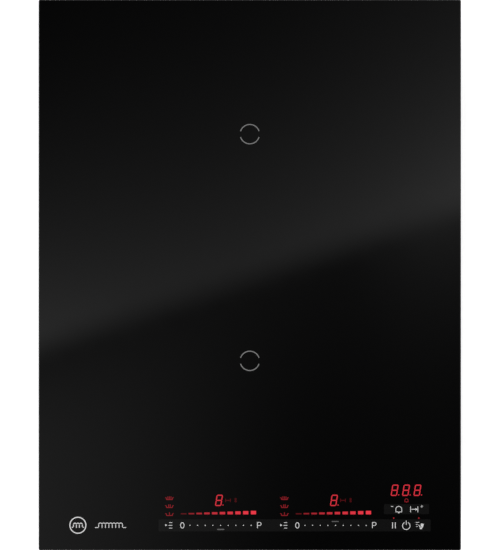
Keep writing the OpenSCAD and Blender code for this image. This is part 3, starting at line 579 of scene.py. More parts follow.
# Board connectors: open-topped headers with a row of tinned pins.
header_wall = 0.8 * mm
header_depth = 6 * mm
pin_pitch = 2.5 * mm
pin_w = 0.64 * mm
headers = []
pins = []
for points in solids_of("board_connectors"):
    low, high = box_of(points)
    header = block(low, high)
    pick_faces(header, lambda centre, normal: normal.z > 0.9)
    bpy.ops.mesh.inset(thickness=header_wall)
    bpy.ops.mesh.extrude_region_move(TRANSFORM_OT_translate={"value": (0, 0, -header_depth)})
    object_mode()
    headers.append(header)
    size = high - low
    long_way = 0 if size.x > size.y else 1
    count = max(2, int((size[long_way] - 2 * header_wall) / pin_pitch))
    for i in range(count):
        place = (low + high) / 2
        place[long_way] += (i - (count - 1) / 2) * pin_pitch
        pins.append(centred_block(place.x, place.y, high.z - 0.6 * header_depth, pin_w, pin_w,
                                  0.8 * header_depth))
finish_piece(joined(headers), "connector_headers", "housing", "cream_plastic",
             moulded_plastic("cream_header_nylon", (0.7, 0.67, 0.56), 0.42, 0.01), "board_connectors")
finish_piece(joined(pins), "connector_pins", "housing", "zinc_steel", tinned_legs)

# Mains filter choke: a coated ferrite ring with two windings of enamelled wire.
low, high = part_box("filter_choke")
choke_middle = (low + high) / 2
choke_out = (high.x - low.x) / 2
choke_half_h = (high.z - low.z) / 2
wire_r = 0.6 * mm
ring_half_w = 4.5 * mm
ring_r = choke_out - ring_half_w
deselect()
bpy.ops.mesh.primitive_torus_add(
    major_radius=ring_r, minor_radius=ring_half_w - 2.1 * wire_r, major_segments=48, minor_segments=16)
choke_core = bpy.context.object
core_rise = (choke_half_h - 2.1 * wire_r) / (ring_half_w - 2.1 * wire_r)
choke_core.data.transform(Matrix.Translation(choke_middle) @ Matrix.Diagonal((1, 1, core_rise, 1)))
finish_piece(smooth(choke_core), "choke_core", "housing", "ferrite",
             moulded_plastic("coated_ferrite_ring", (0.03, 0.07, 0.05), 0.4), "filter_choke")
deselect()
bpy.ops.mesh.primitive_torus_add(
    major_radius=ring_half_w - wire_r, minor_radius=wire_r, major_segments=24, minor_segments=8,
    rotation=(math.pi / 2, 0, 0))
turn = bpy.context.object
bpy.ops.object.transform_apply(location=False, rotation=True, scale=False)
turn.data.transform(Matrix.Diagonal((1, 1, (choke_half_h - wire_r) / (ring_half_w - wire_r), 1)))
turn.data.transform(Matrix.Translation((ring_r, 0, 0)))
turns_each = 13
turn_step = math.radians(11.5)
choke_turns = []
for side in (0, 1):
    for i in range(turns_each):
        angle = side * math.pi + (i - (turns_each - 1) / 2) * turn_step
        choke_turns.append(copy_at(turn, Matrix.Translation(choke_middle) @ Matrix.Rotation(angle, 4, "Z")))
bpy.data.objects.remove(turn)


def enamelled_copper(name, colour):
    """Copper wire under clear enamel."""
    material, tree, shader = new_surface(name, colour, 0.3, 1.0)
    mottle(tree, shader, [0.75 * c for c in colour], colour, 400)
    vary_roughness(tree, shader, 600, 0.2, 0.4)
    return material


finish_piece(smooth(joined(choke_turns)), "choke_turns", "housing", "copper_choke",
             enamelled_copper("enamelled_copper", (0.7, 0.3, 0.1)))


# ---------------------------------------------------------------- cooling fan
# A radial blower: moulded scroll, a wheel of thin forward blades on a small
# motor, and a two-core lead to the board. It draws air in through the tray.

dress("fan_housing", moulded_plastic("dark_fan_plastic", (0.045, 0.047, 0.05), 0.48))
dress("fan_impeller", moulded_plastic("fan_wheel_plastic", (0.035, 0.036, 0.038), 0.42, 0.01))
dress("fan_motor", plated_steel("motor_can_steel", (0.55, 0.56, 0.57), 0.3))
dress("fan_lead", wire_jacket("black_pvc", (0.025, 0.025, 0.027)))


# ---------------------------------------------------------------- coil plate
# Rolled aluminium plate on six folded legs, screwed to the tray. It shields the
# board from the coils' field and carries the coils on their springs.

dress("coil_plate", extruded_aluminium("rolled_plate_aluminium", (0.76, 0.77, 0.78), 0))


# ---------------------------------------------------------------- induction coils
# Each coil is litz wire wound flat in a glass-filled carrier, over ferrite bars,
# under a mica mat, with a sensor on a spring in its middle. Springs press it up.

def pressed_ferrite():
    """Sintered ferrite, dark and dull, with a dusty bloom."""
    material, tree, shader = new_surface("pressed_ferrite", (0.05, 0.05, 0.055), 0.62, 0.2)
    mottle(tree, shader, (0.035, 0.035, 0.04), (0.075, 0.075, 0.08), 350)
    soft_edges(tree, shader, 0.3 * mm)
    grain(tree, shader, 2200, 0.03 * mm)
    return material


def mica_sheet():
    """Pressed mica flakes, silver to tan."""
    material, tree, shader = new_surface("pressed_mica", (0.55, 0.48, 0.36), 0.42)
    flakes = pattern(tree, "ShaderNodeTexVoronoi", 900)
    tone = tree.nodes.new("ShaderNodeSeparateColor")
    tree.links.new(flakes.outputs["Color"], tone.inputs["Color"])
    shades(tree, shader, tone.outputs["Red"], (0.52, 0.46, 0.36), (0.62, 0.56, 0.45), 0.1, 0.9)
    tree.links.new(spread(tree, tone.outputs["Green"], 0.35, 0.55), shader.inputs["Roughness"])
    grain(tree, shader, 800, 0.01 * mm)
    return material


def litz_bundle():
    """A bundle of hundreds of enamelled strands, twisted, so its sheen runs in slanting lines: painted
    sheen on each strand's crown and painted shade in the grooves between, over a matching bump.
    """
    material, tree, shader = new_surface("litz_wire", (0.62, 0.28, 0.12), 0.36, 1.0)
    along = tree.nodes.new("ShaderNodeAttribute")
    along.attribute_name = "strand"
    wave = tree.nodes.new("ShaderNodeMath")
    wave.operation = "SINE"
    tree.links.new(along.outputs["Fac"], wave.inputs[0])
    # painted sheen on the strands' crowns and painted shade in the grooves between them
    shades(tree, shader, wave.outputs[0], (0.34, 0.13, 0.05), (0.72, 0.34, 0.15), 0.0, 0.9)
    relief(tree, shader, wave.outputs[0], 0.08 * mm)
    return material


carrier_plastic = moulded_plastic("glass_filled_carrier", (0.03, 0.03, 0.033), 0.55, 0.03)
ferrite_grey = pressed_ferrite()
mica_tan = mica_sheet()
litz_wire = litz_bundle()
sensor_white = moulded_plastic("sensor_ceramic", (0.78, 0.77, 0.73), 0.5, 0.02)
spring_steel = plated_steel("spring_steel_wire", (0.6, 0.61, 0.63), 0.22)
lead_sleeve = wire_jacket("glass_silk_sleeve", (0.55, 0.5, 0.42))
litz_turns = 18
litz_points = 64
litz_lay = 30 * mm
visible_strands = 14


def wound_wire(name, points, wire_r):
    """A round wire along a list of points, as a closed mesh."""
    path = bpy.data.curves.new(name, "CURVE")
    path.dimensions = "3D"
    path.bevel_depth = wire_r
    path.bevel_resolution = 2
    path.use_fill_caps = True
    line = path.splines.new("POLY")
    line.points.add(len(points) - 1)
    for point, place in zip(line.points, points):
        point.co = (*place, 1)
    wire = bpy.data.objects.new(name, path)
    bpy.context.collection.objects.link(wire)
    active(wire)
    bpy.ops.object.convert(target="MESH")
    return bpy.context.object


def litz_spiral(name, inner, outer, height):
    """The flat winding round the Z axis, each point storing where its strand has turned to."""
    half_w = 0.46 * (outer - inner) / litz_turns
    count = litz_turns * litz_points
    reach = outer - inner - 2 * half_w
    angles = [2 * math.pi * i / litz_points for i in range(count + 1)]
    radii = [inner + half_w + reach * i / count for i in range(count + 1)]
    points = [(r * math.cos(a), r * math.sin(a), 0) for r, a in zip(radii, angles)]
    winding = wound_wire(name, points, half_w)
    ring = len(winding.data.vertices) // len(points)
    strand = winding.data.attributes.new("strand", "FLOAT", "POINT")
    run = 0.0
    for i, radius in enumerate(radii):
        run += radius * 2 * math.pi / litz_points
        for k in range(i * ring, (i + 1) * ring):
            co = winding.data.vertices[k].co
            around = math.atan2(co.xy.length - radius, co.z)
            strand.data[k].value = visible_strands * (2 * math.pi * run / litz_lay + around)
    winding.data.transform(Matrix.Diagonal((1, 1, height / 2 / half_w, 1)))
    return smooth(winding, 60)


def coil_spring(radius, wire_r, height, turns, steps=20):
    """A compression spring from height 0, its end coils lying flat."""
    climb = height - 2 * wire_r
    points = []
    for i in range(turns * steps + 1):
        share = i / (turns * steps)
        rise = min(max((share * turns - 0.7) / (turns - 1.4), 0), 1)
        angle = 2 * math.pi * share * turns
        points.append((radius * math.cos(angle), radius * math.sin(angle), wire_r + climb * rise))
    return smooth(wound_wire("spring", points, wire_r), 60)


for zone in ("front", "rear"):
    low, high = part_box(f"{zone}_winding")
    middle = (low + high) / 2
    inner = min((v.co.xy - middle.xy).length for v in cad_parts[f"{zone}_winding"].data.vertices)
    winding = litz_spiral(f"{zone}_litz", inner, (high.x - low.x) / 2, high.z - low.z)
    winding.data.transform(Matrix.Translation(middle))
    finish_piece(winding, f"{zone}_litz_winding", f"{zone}_coil", "litz_copper", litz_wire,
                 f"{zone}_winding")

    springs = []
    for points in solids_of(f"{zone}_coil_springs"):
        low, high = box_of(points)
        wire_r = 0.6 * mm
        spring = coil_spring((high.x - low.x) / 2 - wire_r, wire_r, high.z - low.z, 4)
        spring.data.transform(Matrix.Translation(((low.x + high.x) / 2, (low.y + high.y) / 2, low.z)))
        springs.append(spring)
    springs = finish_piece(joined(springs), f"{zone}_support_springs", "housing", "spring_steel",
                           spring_steel, f"{zone}_coil_springs")
    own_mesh(springs)

    low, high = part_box(f"{zone}_sensor_spring")
    wire_r = 0.4 * mm
    spring = coil_spring((high.x - low.x) / 2 - wire_r, wire_r, high.z - low.z, 5)
    spring.data.transform(Matrix.Translation(((low.x + high.x) / 2, (low.y + high.y) / 2, low.z)))
    finish_piece(spring, f"{zone}_sensor_coil_spring", f"{zone}_coil", "spring_steel", spring_steel,
                 f"{zone}_sensor_spring")
    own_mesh(spring)

    low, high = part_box(f"{zone}_leads")
    leads = finish_piece(merged_copy(f"{zone}_leads"), f"{zone}_coil_leads", None, "litz_copper",
                         lead_sleeve, f"{zone}_leads")
    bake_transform(leads)

    dress(f"{zone}_coil_carrier", carrier_plastic)
    dress(f"{zone}_ferrites", ferrite_grey)
    dress(f"{zone}_coil_mat", mica_tan)
    dress(f"{zone}_sensor", sensor_white)


# ---------------------------------------------------------------- control unit
# A board with the touch pads, displays and lamps in a moulded carrier, with a
# black light frame over it that stops each light from spilling into the next.

dress("ui_board", printed_board("green_control_board", mask_green, copper_green, 1.8 * mm))
dress("ui_carrier", black_nylon)
dress("light_frame", moulded_plastic("matt_light_frame", (0.02, 0.02, 0.02), 0.65))


def display_resin(name, colour, roughness):
    """Tinted diffusing resin."""
    material, tree, shader = new_surface(name, colour, roughness)
    mottle(tree, shader, [0.8 * c for c in colour], colour, 200)
    soft_edges(tree, shader, 0.2 * mm)
    return material


display_red_resin = display_resin("red_display_resin", (0.22, 0.012, 0.016), 0.25)
dress("digit_displays", display_red_resin)
dress("bar_displays", display_red_resin)
dress("status_leds", display_resin("clear_lamp_resin", (0.7, 0.55, 0.52), 0.15))


def conductive_foam():
    """Black open-cell foam that carries a finger's touch to the board; its cells have painted shade in
    their hollows.
    """
    material, tree, shader = new_surface("conductive_foam", (0.05, 0.05, 0.052), 0.9)
    cells = pattern(tree, "ShaderNodeTexVoronoi", 2200)
    # painted shade: each cell darkens towards its middle, where the bump is deepest
    shades(tree, shader, cells.outputs["Distance"], (0.015, 0.015, 0.015), (0.08, 0.08, 0.082), 0.1, 0.6)
    relief(tree, shader, cells.outputs["Distance"], 0.15 * mm)
    return material


dress("touch_pads", conductive_foam())


def flat_cable():
    """Grey flat cable, its cores showing as ridges along it, with painted shade in the troughs between them
    and a painted highlight on their crowns.
    """
    material, tree, shader = new_surface("grey_flat_cable", (0.36, 0.37, 0.39), 0.42)
    core_pitch = 1.27 * mm
    cores = pattern(tree, "ShaderNodeTexWave", 2 * math.pi / core_pitch / 20)
    # painted shade in the troughs between the cores, painted highlight on their crowns
    shades(tree, shader, cores.outputs["Fac"], (0.26, 0.27, 0.29), (0.44, 0.45, 0.47), 0.1, 0.9)
    relief(tree, shader, cores.outputs["Fac"], 0.25 * mm)
    return material


dress("ribbon_cable", flat_cable())


# ---------------------------------------------------------------- clamps
# At each corner a captive screw, turned from below, lifts a nut bush that draws
# a jaw up against the worktop's underside. All are zinc-plated steel.

clamp_steel = plated_steel("plated_clamp_steel", (0.6, 0.61, 0.61), 0.3)
thread_pitch = 0.8 * mm
thread_depth = 0.45 * mm
thread_steps = 20
corners = ("front_left", "front_right", "rear_left", "rear_right")


def clamp_screw(points):
    """A cross-recess screw with a rolled thread and two collars, on the Z axis."""
    low, high = box_of(points)
    middle = (low + high) / 2
    head_r = (high.x - low.x) / 2
    shank_r = max((p - middle).xy.length for p in points if p.z > high.z - 1e-5)
    rims = sorted({round(p.z, 5) for p in points if (p - middle).xy.length > 0.98 * head_r})
    head = rod(0, 0, rims[0], rims[1], head_r, 40)
    pick_edges(head, lambda a, b: abs(a.z - b.z) < 1e-6 and max(a.z, b.z) < rims[0] + 1e-6)
    bpy.ops.mesh.bevel(offset=0.6 * mm, segments=3, affect="EDGES")
    object_mode()
    for wide, deep in ((1.3 * head_r, 1.2 * mm), (1.2 * mm, 1.3 * head_r)):
        cut(head, centred_block(0, 0, rims[0], wide, deep, 3 * mm))
    collars = [rod(0, 0, below, above, head_r, 40) for below, above in (rims[2:4], rims[4:6])]
    deselect()
    bpy.ops.mesh.primitive_plane_add(size=1)
    thread = bpy.context.object
    bpy.ops.object.mode_set(mode="EDIT")
    bpy.ops.mesh.select_all(action="SELECT")
    bpy.ops.mesh.merge(type="CENTER")
    bpy.ops.mesh.extrude_region_move(
        TRANSFORM_OT_translate={"value": (thread_depth, 0, thread_pitch / 2)})
    bpy.ops.mesh.extrude_region_move(
        TRANSFORM_OT_translate={"value": (-thread_depth, 0, thread_pitch / 2)})
    object_mode()
    turns = int((high.z - rims[1]) / thread_pitch) - 1
    thread.data.transform(Matrix.Translation(
        (shank_r - thread_depth, 0, high.z - (turns + 1) * thread_pitch)))
    rolled = thread.modifiers.new("thread", "SCREW")
    rolled.screw_offset = thread_pitch
    rolled.iterations = turns
    rolled.steps = thread_steps
    rolled.render_steps = thread_steps
    rolled.use_merge_vertices = True
    bpy.ops.object.modifier_apply(modifier=rolled.name)
    bpy.ops.object.mode_set(mode="EDIT")
    bpy.ops.mesh.select_all(action="SELECT")
    bpy.ops.mesh.remove_doubles(threshold=1e-6)
    bpy.ops.mesh.fill_holes(sides=0)
    bpy.ops.mesh.select_all(action="SELECT")
    bpy.ops.mesh.normals_make_consistent(inside=False)
    object_mode()
    return smooth(joined([head, thread] + collars))


screw_model = clamp_screw([v.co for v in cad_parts["clamp_screw_front_left"].data.vertices])
for corner in corners:
    low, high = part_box(f"clamp_screw_{corner}")
    middle = (low + high) / 2
    finish_piece(copy_at(screw_model, Matrix.Translation((middle.x, middle.y, 0))),
                 f"{corner}_threaded_screw", f"{corner}_screw", "zinc_steel", clamp_steel,
                 f"clamp_screw_{corner}")
    dress(f"clamp_jaw_{corner}", clamp_steel)
    dress(f"clamp_nut_{corner}", clamp_steel)
bpy.data.objects.remove(screw_model)


# ---------------------------------------------------------------- frame and seals
# A folded galvanised frame carries the glass in a black silicone bead. A foam
# strip under the glass's rim seals it to the worktop.

dress("support_frame", galvanised_steel("galvanised_frame_steel", 2.6 * mm,
                                        (0.44, 0.45, 0.455), (0.54, 0.55, 0.555)))


def seal_rubber(name, colour, roughness, cell, depth):
    """Black rubber or foam with its cells showing as pits, each pit painted darker towards its bottom as
    painted shade.
    """
    material, tree, shader = new_surface(name, colour, roughness)
    cells = pattern(tree, "ShaderNodeTexVoronoi", 1 / cell)
    # painted shade: each pit darkens towards its middle, where the bump is deepest
    shades(tree, shader, cells.outputs["Distance"], [0.6 * c for c in colour], colour, 0.1, 0.5)
    relief(tree, shader, cells.outputs["Distance"], depth)
    return material


dress("glass_bond", seal_rubber("silicone_bead", (0.03, 0.03, 0.03), 0.4, 2.5 * mm, 0.02 * mm))
dress("worktop_seal", seal_rubber("sealing_foam", (0.05, 0.05, 0.052), 0.85, 0.6 * mm, 0.15 * mm))


# ---------------------------------------------------------------- glass plate
# One sheet of black glass-ceramic with a ground and polished bevel all round.
# It lies in the silicone bead on the steel frame and carries all the marks.

glass_low, glass_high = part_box("glass_top")


def black_glass():
    """Black to the eye, with a polish that is very slightly uneven."""
    material, tree, shader = new_surface("black_glass_ceramic", (0.0004, 0.0004, 0.00045), 0.035)
    shader.inputs["IOR"].default_value = 1.5
    vary_roughness(tree, shader, 40, 0.02, 0.045)
    return material


dress("glass_top", black_glass())


# ---------------------------------------------------------------- printed marks
# Ceramic inks fired onto the glass: grey zone marks, a dark grey strip behind
# each row of keys, and pale key symbols. Each mark is a thin film of ink.

ink_h = 0.02 * mm
film_z = glass_high.z + 0.5 * ink_h
print_margin = 0.3 * mm
front = glass_low.y + print_margin


def film_bar(x, y, wide, deep, corner=0.2, steps=2, layer=0):
    """A flat bar of film; corner is how far its corners are cut back, in millimetres."""
    bar = centred_block(x, y, film_z + layer * ink_h, wide, deep, ink_h)
    pick_edges(bar, lambda a, b: abs(a.z - b.z) > ink_h / 2)
    bpy.ops.mesh.bevel(offset=min(corner * mm, 0.49 * min(wide, deep)), segments=steps, affect="EDGES")
    object_mode()
    return bar


def film_disc(x, y, radius, sides=20, layer=0, turn=0.0):
    """A flat disc of film, or a polygon when it has few sides."""
    disc = rod(0, 0, -ink_h / 2, ink_h / 2, radius, sides)
    place = Matrix.Translation((x, y, film_z + layer * ink_h))
    disc.data.transform(place @ Matrix.Rotation(turn, 4, "Z"))
    return disc


def film_ring(x, y, wide, deep, stroke, layer=0):
    """A closed oval line: a disc whose two faces are inset and bridged."""
    ring = film_disc(0, 0, 0.5, 40, layer)
    ring.data.transform(Matrix.Translation((x, y, 0)) @ Matrix.Diagonal((wide, deep, 1, 1)))
    pick_faces(ring, lambda centre, normal: abs(normal.z) > 0.9)
    bpy.ops.mesh.inset(thickness=stroke, use_individual=True)
    bpy.ops.mesh.bridge_edge_loops()
    object_mode()
    return ring


def film_arc(x, y, radius, stroke, start, sweep, layer=0):
    """An open arc of a round line, spun from its end face; angles in degrees."""
    height = film_z + layer * ink_h
    deselect()
    bpy.ops.mesh.primitive_plane_add(size=1)
    arc = bpy.context.object
    arc.data.transform(
        Matrix.Translation((x, y, height)) @ Matrix.Rotation(math.radians(start), 4, "Z")
        @ Matrix.Translation((radius, 0, 0)) @ Matrix.Rotation(math.pi / 2, 4, "X")
        @ Matrix.Diagonal((stroke, ink_h, 1, 1)))
    bpy.ops.object.mode_set(mode="EDIT")
    bpy.ops.mesh.select_all(action="SELECT")
    bpy.ops.mesh.spin(steps=max(6, int(sweep / 5)), angle=math.radians(sweep),
                      center=(x, y, height), axis=(0, 0, -1))
    bpy.ops.mesh.select_all(action="SELECT")
    bpy.ops.mesh.normals_make_consistent(inside=False)
    object_mode()
    return arc


def moved(part, x, y, turn=0.0, lean=0.0):
    """Leans, turns and moves a flat part; lean is the tangent of its slant."""
    slant = Matrix(((1, lean, 0, 0), (0, 1, 0, 0), (0, 0, 1, 0), (0, 0, 0, 1)))
    part.data.transform(Matrix.Translation((x, y, 0)) @ Matrix.Rotation(turn, 4, "Z") @ slant)
    return part


def printed_ink(name, grey, roughness):
    """Matt fired ink with a fine speckle."""
    material, tree, shader = new_surface(name, (grey, grey, grey * 0.98), roughness)
    mottle(tree, shader, (grey * 0.9,) * 3, (grey * 1.08,) * 3, 9000)
    grain(tree, shader, 16000, 0.001 * mm)
    return material


zone_ink = printed_ink("zone_mark_ink", 0.2, 0.5)
strip_ink = printed_ink("key_strip_ink", 0.0054, 0.05)
symbol_ink = printed_ink("symbol_ink", 0.76, 0.5)
faint_ink = printed_ink("position_mark_ink", 0.1, 0.5)

mark_radius = 8.8 * mm
mark_stroke = 0.85 * mm
mark_sweep = 144

arcs = []
for zone in ("front", "rear"):
    low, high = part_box(f"{zone}_winding")
    middle = (low + high) / 2
    for start in (18, 198):
        arcs.append(film_arc(middle.x, middle.y, mark_radius, mark_stroke, start, mark_sweep))
finish_piece(joined(arcs), "zone_marks", "housing", "mark_ink", zone_ink)

slider_y = front + 22.7 * mm
timer_y = front + 37.4 * mm
strip_corner = 0.6
key_strips = [
    film_bar(40.75 * mm, slider_y, 247.3 * mm, 10.9 * mm, strip_corner),
    film_bar(142.5 * mm, timer_y, 41 * mm, 9.1 * mm, strip_corner),
]
finish_piece(joined(key_strips), "key_strips", "housing", "black_glass", strip_ink)

# Places across the plate: the left zone's controls, the shift to the right zone's,
# and the general keys at the right
menu_x = -73.2 * mm
slider_start = -61.3 * mm
slider_pitch = 6.95 * mm
slider_dots = 9
full_power_x = 8.4 * mm
zone_shift = 104.5 * mm
pause_x = 131 * mm
power_x = 142.2 * mm
wipe_x = 155 * mm
alarm_x = 135.4 * mm
duration_x = 149.4 * mm


def menu_symbol(x, y):
    """A pointer beside three lines of unlike length."""
    pointer = moved(film_disc(0, 0, 1.15 * mm, 3, 1, -math.pi / 2), x - 3.0 * mm, y + 0.2 * mm)
    lines = [film_bar(x + shift * mm, y + up * mm, wide * mm, 0.48 * mm, 0.1, 1, 1)
             for shift, up, wide in ((1.3, 2.5, 2.8), (1.1, 0, 3.4), (1.3, -2.5, 2.8))]
    return [pointer] + lines


def nought(x, y):
    """The figure 0."""
    return [film_ring(x, y, 3.7 * mm, 5.6 * mm, 0.55 * mm, 1)]


def full_power(x, y):
    """The mark at the slider's full end: a stem with a bowl at its top."""
    return [
        film_bar(x - 1.45 * mm, y, 0.56 * mm, 5.6 * mm, 0.1, 1, 1),
        film_bar(x - 0.3 * mm, y + 2.5 * mm, 2.0 * mm, 0.54 * mm, 0.1, 1, 1),
        film_bar(x - 0.3 * mm, y - 0.3 * mm, 2.0 * mm, 0.54 * mm, 0.1, 1, 1),
        film_arc(x + 0.5 * mm, y + 1.1 * mm, 1.4 * mm, 0.54 * mm, -90, 180, 1),
    ]


def pause_symbol(x, y):
    """Two upright bars."""
    return [film_bar(x + side * 1.25 * mm, y, 0.66 * mm, 5.4 * mm, 0.1, 1, 1) for side in (-1, 1)]


def power_symbol(x, y):
    """An open ring with a stem in its gap."""
    return [
        film_arc(x, y - 0.4 * mm, 3.4 * mm, 0.56 * mm, 118, 304, 1),
        film_bar(x, y + 2.4 * mm, 0.56 * mm, 3.8 * mm, 0.1, 1, 1),
    ]


def wipe_symbol(x, y):
    """An open hand, its thumb to the left, with three lines of movement beside it."""
    palm = [film_bar(-0.1 * mm, -1.7 * mm, 2.2 * mm, 2.4 * mm, 1.0, 3, 1)]
    fingers = [moved(film_bar(0, 0, 0.56 * mm, 3.5 * mm, 0.26, 2, 1), (0.1 + 0.58 * i) * mm,
                     (0.6 - 0.25 * abs(i - 1.2)) * mm, -0.1 * i) for i in range(4)]
    thumb = [moved(film_bar(0, 0, 0.66 * mm, 3.2 * mm, 0.3, 2, 1), -1.35 * mm, -0.4 * mm, 0.5)]
    hand = moved(joined(palm + fingers + thumb), x + 0.6 * mm, y - 0.5 * mm)
    lines = [film_bar(x + shift * mm, y + up * mm, wide * mm, 0.42 * mm, 0.1, 1, 1)
             for shift, up, wide in ((-2.6, 2.7, 3.2), (-3.3, 0.9, 1.5), (-3.1, -1.0, 1.4))]
    return [hand] + lines


def bell(x, y, size, stroke, layer):
    """A bell's outline: a dome, a foot bar and a clapper."""
    half = 0.42 * size
    foot = y - 0.37 * size
    return [
        film_arc(x, y, half, stroke, 0, 180, layer),
        film_bar(x - half, y - 0.18 * size, stroke, 0.38 * size, 0.05, 1, layer),
        film_bar(x + half, y - 0.18 * size, stroke, 0.38 * size, 0.05, 1, layer),
        film_bar(x, foot, 2 * half + stroke, stroke, 0.05, 1, layer),
        film_disc(x, foot - 0.08 * size, 0.11 * size, 12, layer),
    ]


def span_symbol(x, y, wide, tall, stroke, layer):
    """Two upright ends with an arrow between them."""
    return [
        film_bar(x - wide / 2, y, stroke, tall, 0.05, 1, layer),
        film_bar(x + wide / 2, y, stroke, tall, 0.05, 1, layer),
        film_bar(x - 0.08 * wide, y, 0.62 * wide, stroke, 0.05, 1, layer),
        film_disc(x + 0.27 * wide, y, 0.24 * tall, 3, layer, -math.pi / 2),
    ]


symbols = []
for shift in (0, zone_shift):
    symbols += menu_symbol(menu_x + shift, slider_y)
    symbols += nought(slider_start + shift, slider_y)
    symbols += full_power(full_power_x + shift, slider_y + 0.2 * mm)
    for i in range(slider_dots):
        symbols.append(film_disc(slider_start + shift + (i + 1) * slider_pitch, slider_y,
                                 0.44 * mm, 12, 1))
symbols += pause_symbol(pause_x, slider_y)
symbols += power_symbol(power_x, slider_y)
symbols += wipe_symbol(wipe_x, slider_y)
symbols += bell(alarm_x, timer_y - 0.1 * mm, 6.4 * mm, 0.52 * mm, 1)
symbols += span_symbol(duration_x, timer_y - 0.1 * mm, 6.6 * mm, 5.4 * mm, 0.52 * mm, 1)

# A small minus and plus stand above the timer keys.
sign_y = timer_y + 2.5 * mm
for x, wide, deep in ((129.3, 2.0, 0.5), (156.3, 2.0, 0.5), (156.3, 0.5, 2.0)):
    symbols.append(film_bar(x * mm, sign_y, wide * mm, deep * mm, 0.1, 1, 1))
finish_piece(joined(symbols), "key_symbols", "housing", "mark_ink", symbol_ink)

positions = [
    film_bar(-26.4 * mm, slider_y - 3.7 * mm, 6.3 * mm, 1.1 * mm, 0.2, 2, 1),
    film_bar(77.6 * mm, slider_y + 3.5 * mm, 6.3 * mm, 0.8 * mm, 0.2, 2, 1),
]
finish_piece(joined(positions), "slider_position_marks", "housing", "mark_ink", faint_ink)


def coil_sign(x, y, loops, loop_r, loop_h, stroke, tail):
    """A row of upright loops with a straight tail at each end."""
    width = 2 * loop_r * loops
    sign = []
    for i in range(loops):
        left = (2 * i - loops) * loop_r
        sign.append(film_arc(left + loop_r, loop_h - loop_r, loop_r, stroke, 0, 180))
        sign.append(film_bar(left, (loop_h - loop_r) / 2, stroke, loop_h - loop_r + stroke, 0.05, 1))
    sign.append(film_bar(width / 2, (loop_h - loop_r) / 2, stroke, loop_h - loop_r + stroke, 0.05, 1))
    for side in (-1, 1):
        sign.append(film_bar(side * (width + tail) / 2, 0, tail + stroke, stroke, 0.1, 1))
    return [moved(joined(sign), x, y)]


# The emblem: a plain ring round the circuit sign for a coil, and a longer coil beside it.
emblem_x, emblem_y = -156.2 * mm, front + 22.8 * mm
emblem = [film_ring(emblem_x, emblem_y, 15.4 * mm, 15.4 * mm, 0.85 * mm)]
emblem += coil_sign(emblem_x, emblem_y - 1.9 * mm, 3, 1.35 * mm, 3.8 * mm, 0.75 * mm, 1.2 * mm)
emblem += coil_sign(-126.5 * mm, front + 20.7 * mm, 7, 1.55 * mm, 4.2 * mm, 0.6 * mm, 3.0 * mm)
finish_piece(joined(emblem), "coil_emblem", "housing", "mark_ink", symbol_ink)


# ---------------------------------------------------------------- lit displays
# Red light-emitting segments seen through the glass: digits, bar graphs, pan
# symbols and small lamps. Each shows as a sharp red patch at the surface.

def lit_red(name):
    """Red light whose strength each segment's own glow value sets."""
    material, tree, shader = new_surface(name, (0.004, 0.0005, 0.0005), 0.04)
    glow = tree.nodes.new("ShaderNodeAttribute")
    glow.attribute_name = "glow"
    tree.links.new(glow.outputs["Fac"], shader.inputs["Emission Strength"])
    shader.inputs["Emission Color"].default_value = (1.0, 0.048, 0.075, 1)
    return material


def glowing(parts, strength):
    """Joins parts and stores how brightly they glow."""
    lit = joined(parts)
    glow = lit.data.attributes.new("glow", "FLOAT", "POINT")
    for point in glow.data:
        point.value = strength
    return lit


digit_w = 5.8 * mm
digit_h = 10.3 * mm
segment = 0.92 * mm
digit_lean = 0.165


def digit(x, y, strength):
    """A leaning seven-bar eight with its point."""
    gap = 0.12 * mm
    across = digit_w - segment - gap
    upright = (digit_h - segment) / 2 - gap
    bars = [film_bar(0, up * (digit_h - segment) / 2, across, segment, 0.5, 1) for up in (-1, 0, 1)]
    for side in (-1, 1):
        for up in (-1, 1):
            bars.append(film_bar(side * (digit_w - segment) / 2, up * (digit_h - segment) / 4,
                                 segment, upright, 0.5, 1))
    bars.append(film_disc(digit_w / 2 + 1.5 * mm, -digit_h / 2 + 0.9 * mm, 0.5 * mm, 12))
    return glowing([moved(joined(bars), x, y, 0, digit_lean)], strength)


def pan_symbol(x, y, strokes):
    """A pan seen from the side with rising strokes in it."""
    parts = [
        film_bar(0, -1.45 * mm, 4.6 * mm, 0.7 * mm, 0.2, 2),
        moved(film_bar(0, 0, 0.65 * mm, 1.9 * mm, 0.1, 1), -2.45 * mm, -0.7 * mm, 0.2),
        moved(film_bar(0, 0, 0.65 * mm, 1.9 * mm, 0.1, 1), 2.45 * mm, -0.7 * mm, -0.2),
        film_bar(-3.0 * mm, 0.35 * mm, 0.9 * mm, 0.5 * mm, 0.1, 1),
        film_bar(3.0 * mm, 0.35 * mm, 0.9 * mm, 0.5 * mm, 0.1, 1),
    ]
    for i in range(strokes):
        parts.append(film_bar((i - (strokes - 1) / 2) * 1.25 * mm, 0.25 * mm, 0.6 * mm, 2.3 * mm, 0.1, 1))
    icon = joined(parts)
    icon.data.transform(Matrix.Diagonal((1.12, 1, 1, 1)))
    return glowing([moved(icon, x, y)], 0.25)


bars_start = -60.1 * mm
bars_pitch = 7.05 * mm
bars_foot = front + 32.7 * mm
bar_count = 10
digits_glow = 0.68
zone_digit_x = -28.0 * mm
zone_digit_y = front + 45.4 * mm
pan_x = -73 * mm
pan_pitch = 7.25 * mm
pan_start = front + 33.1 * mm
probe_x = -12.9 * mm
timer_digits_y = front + 54.6 * mm

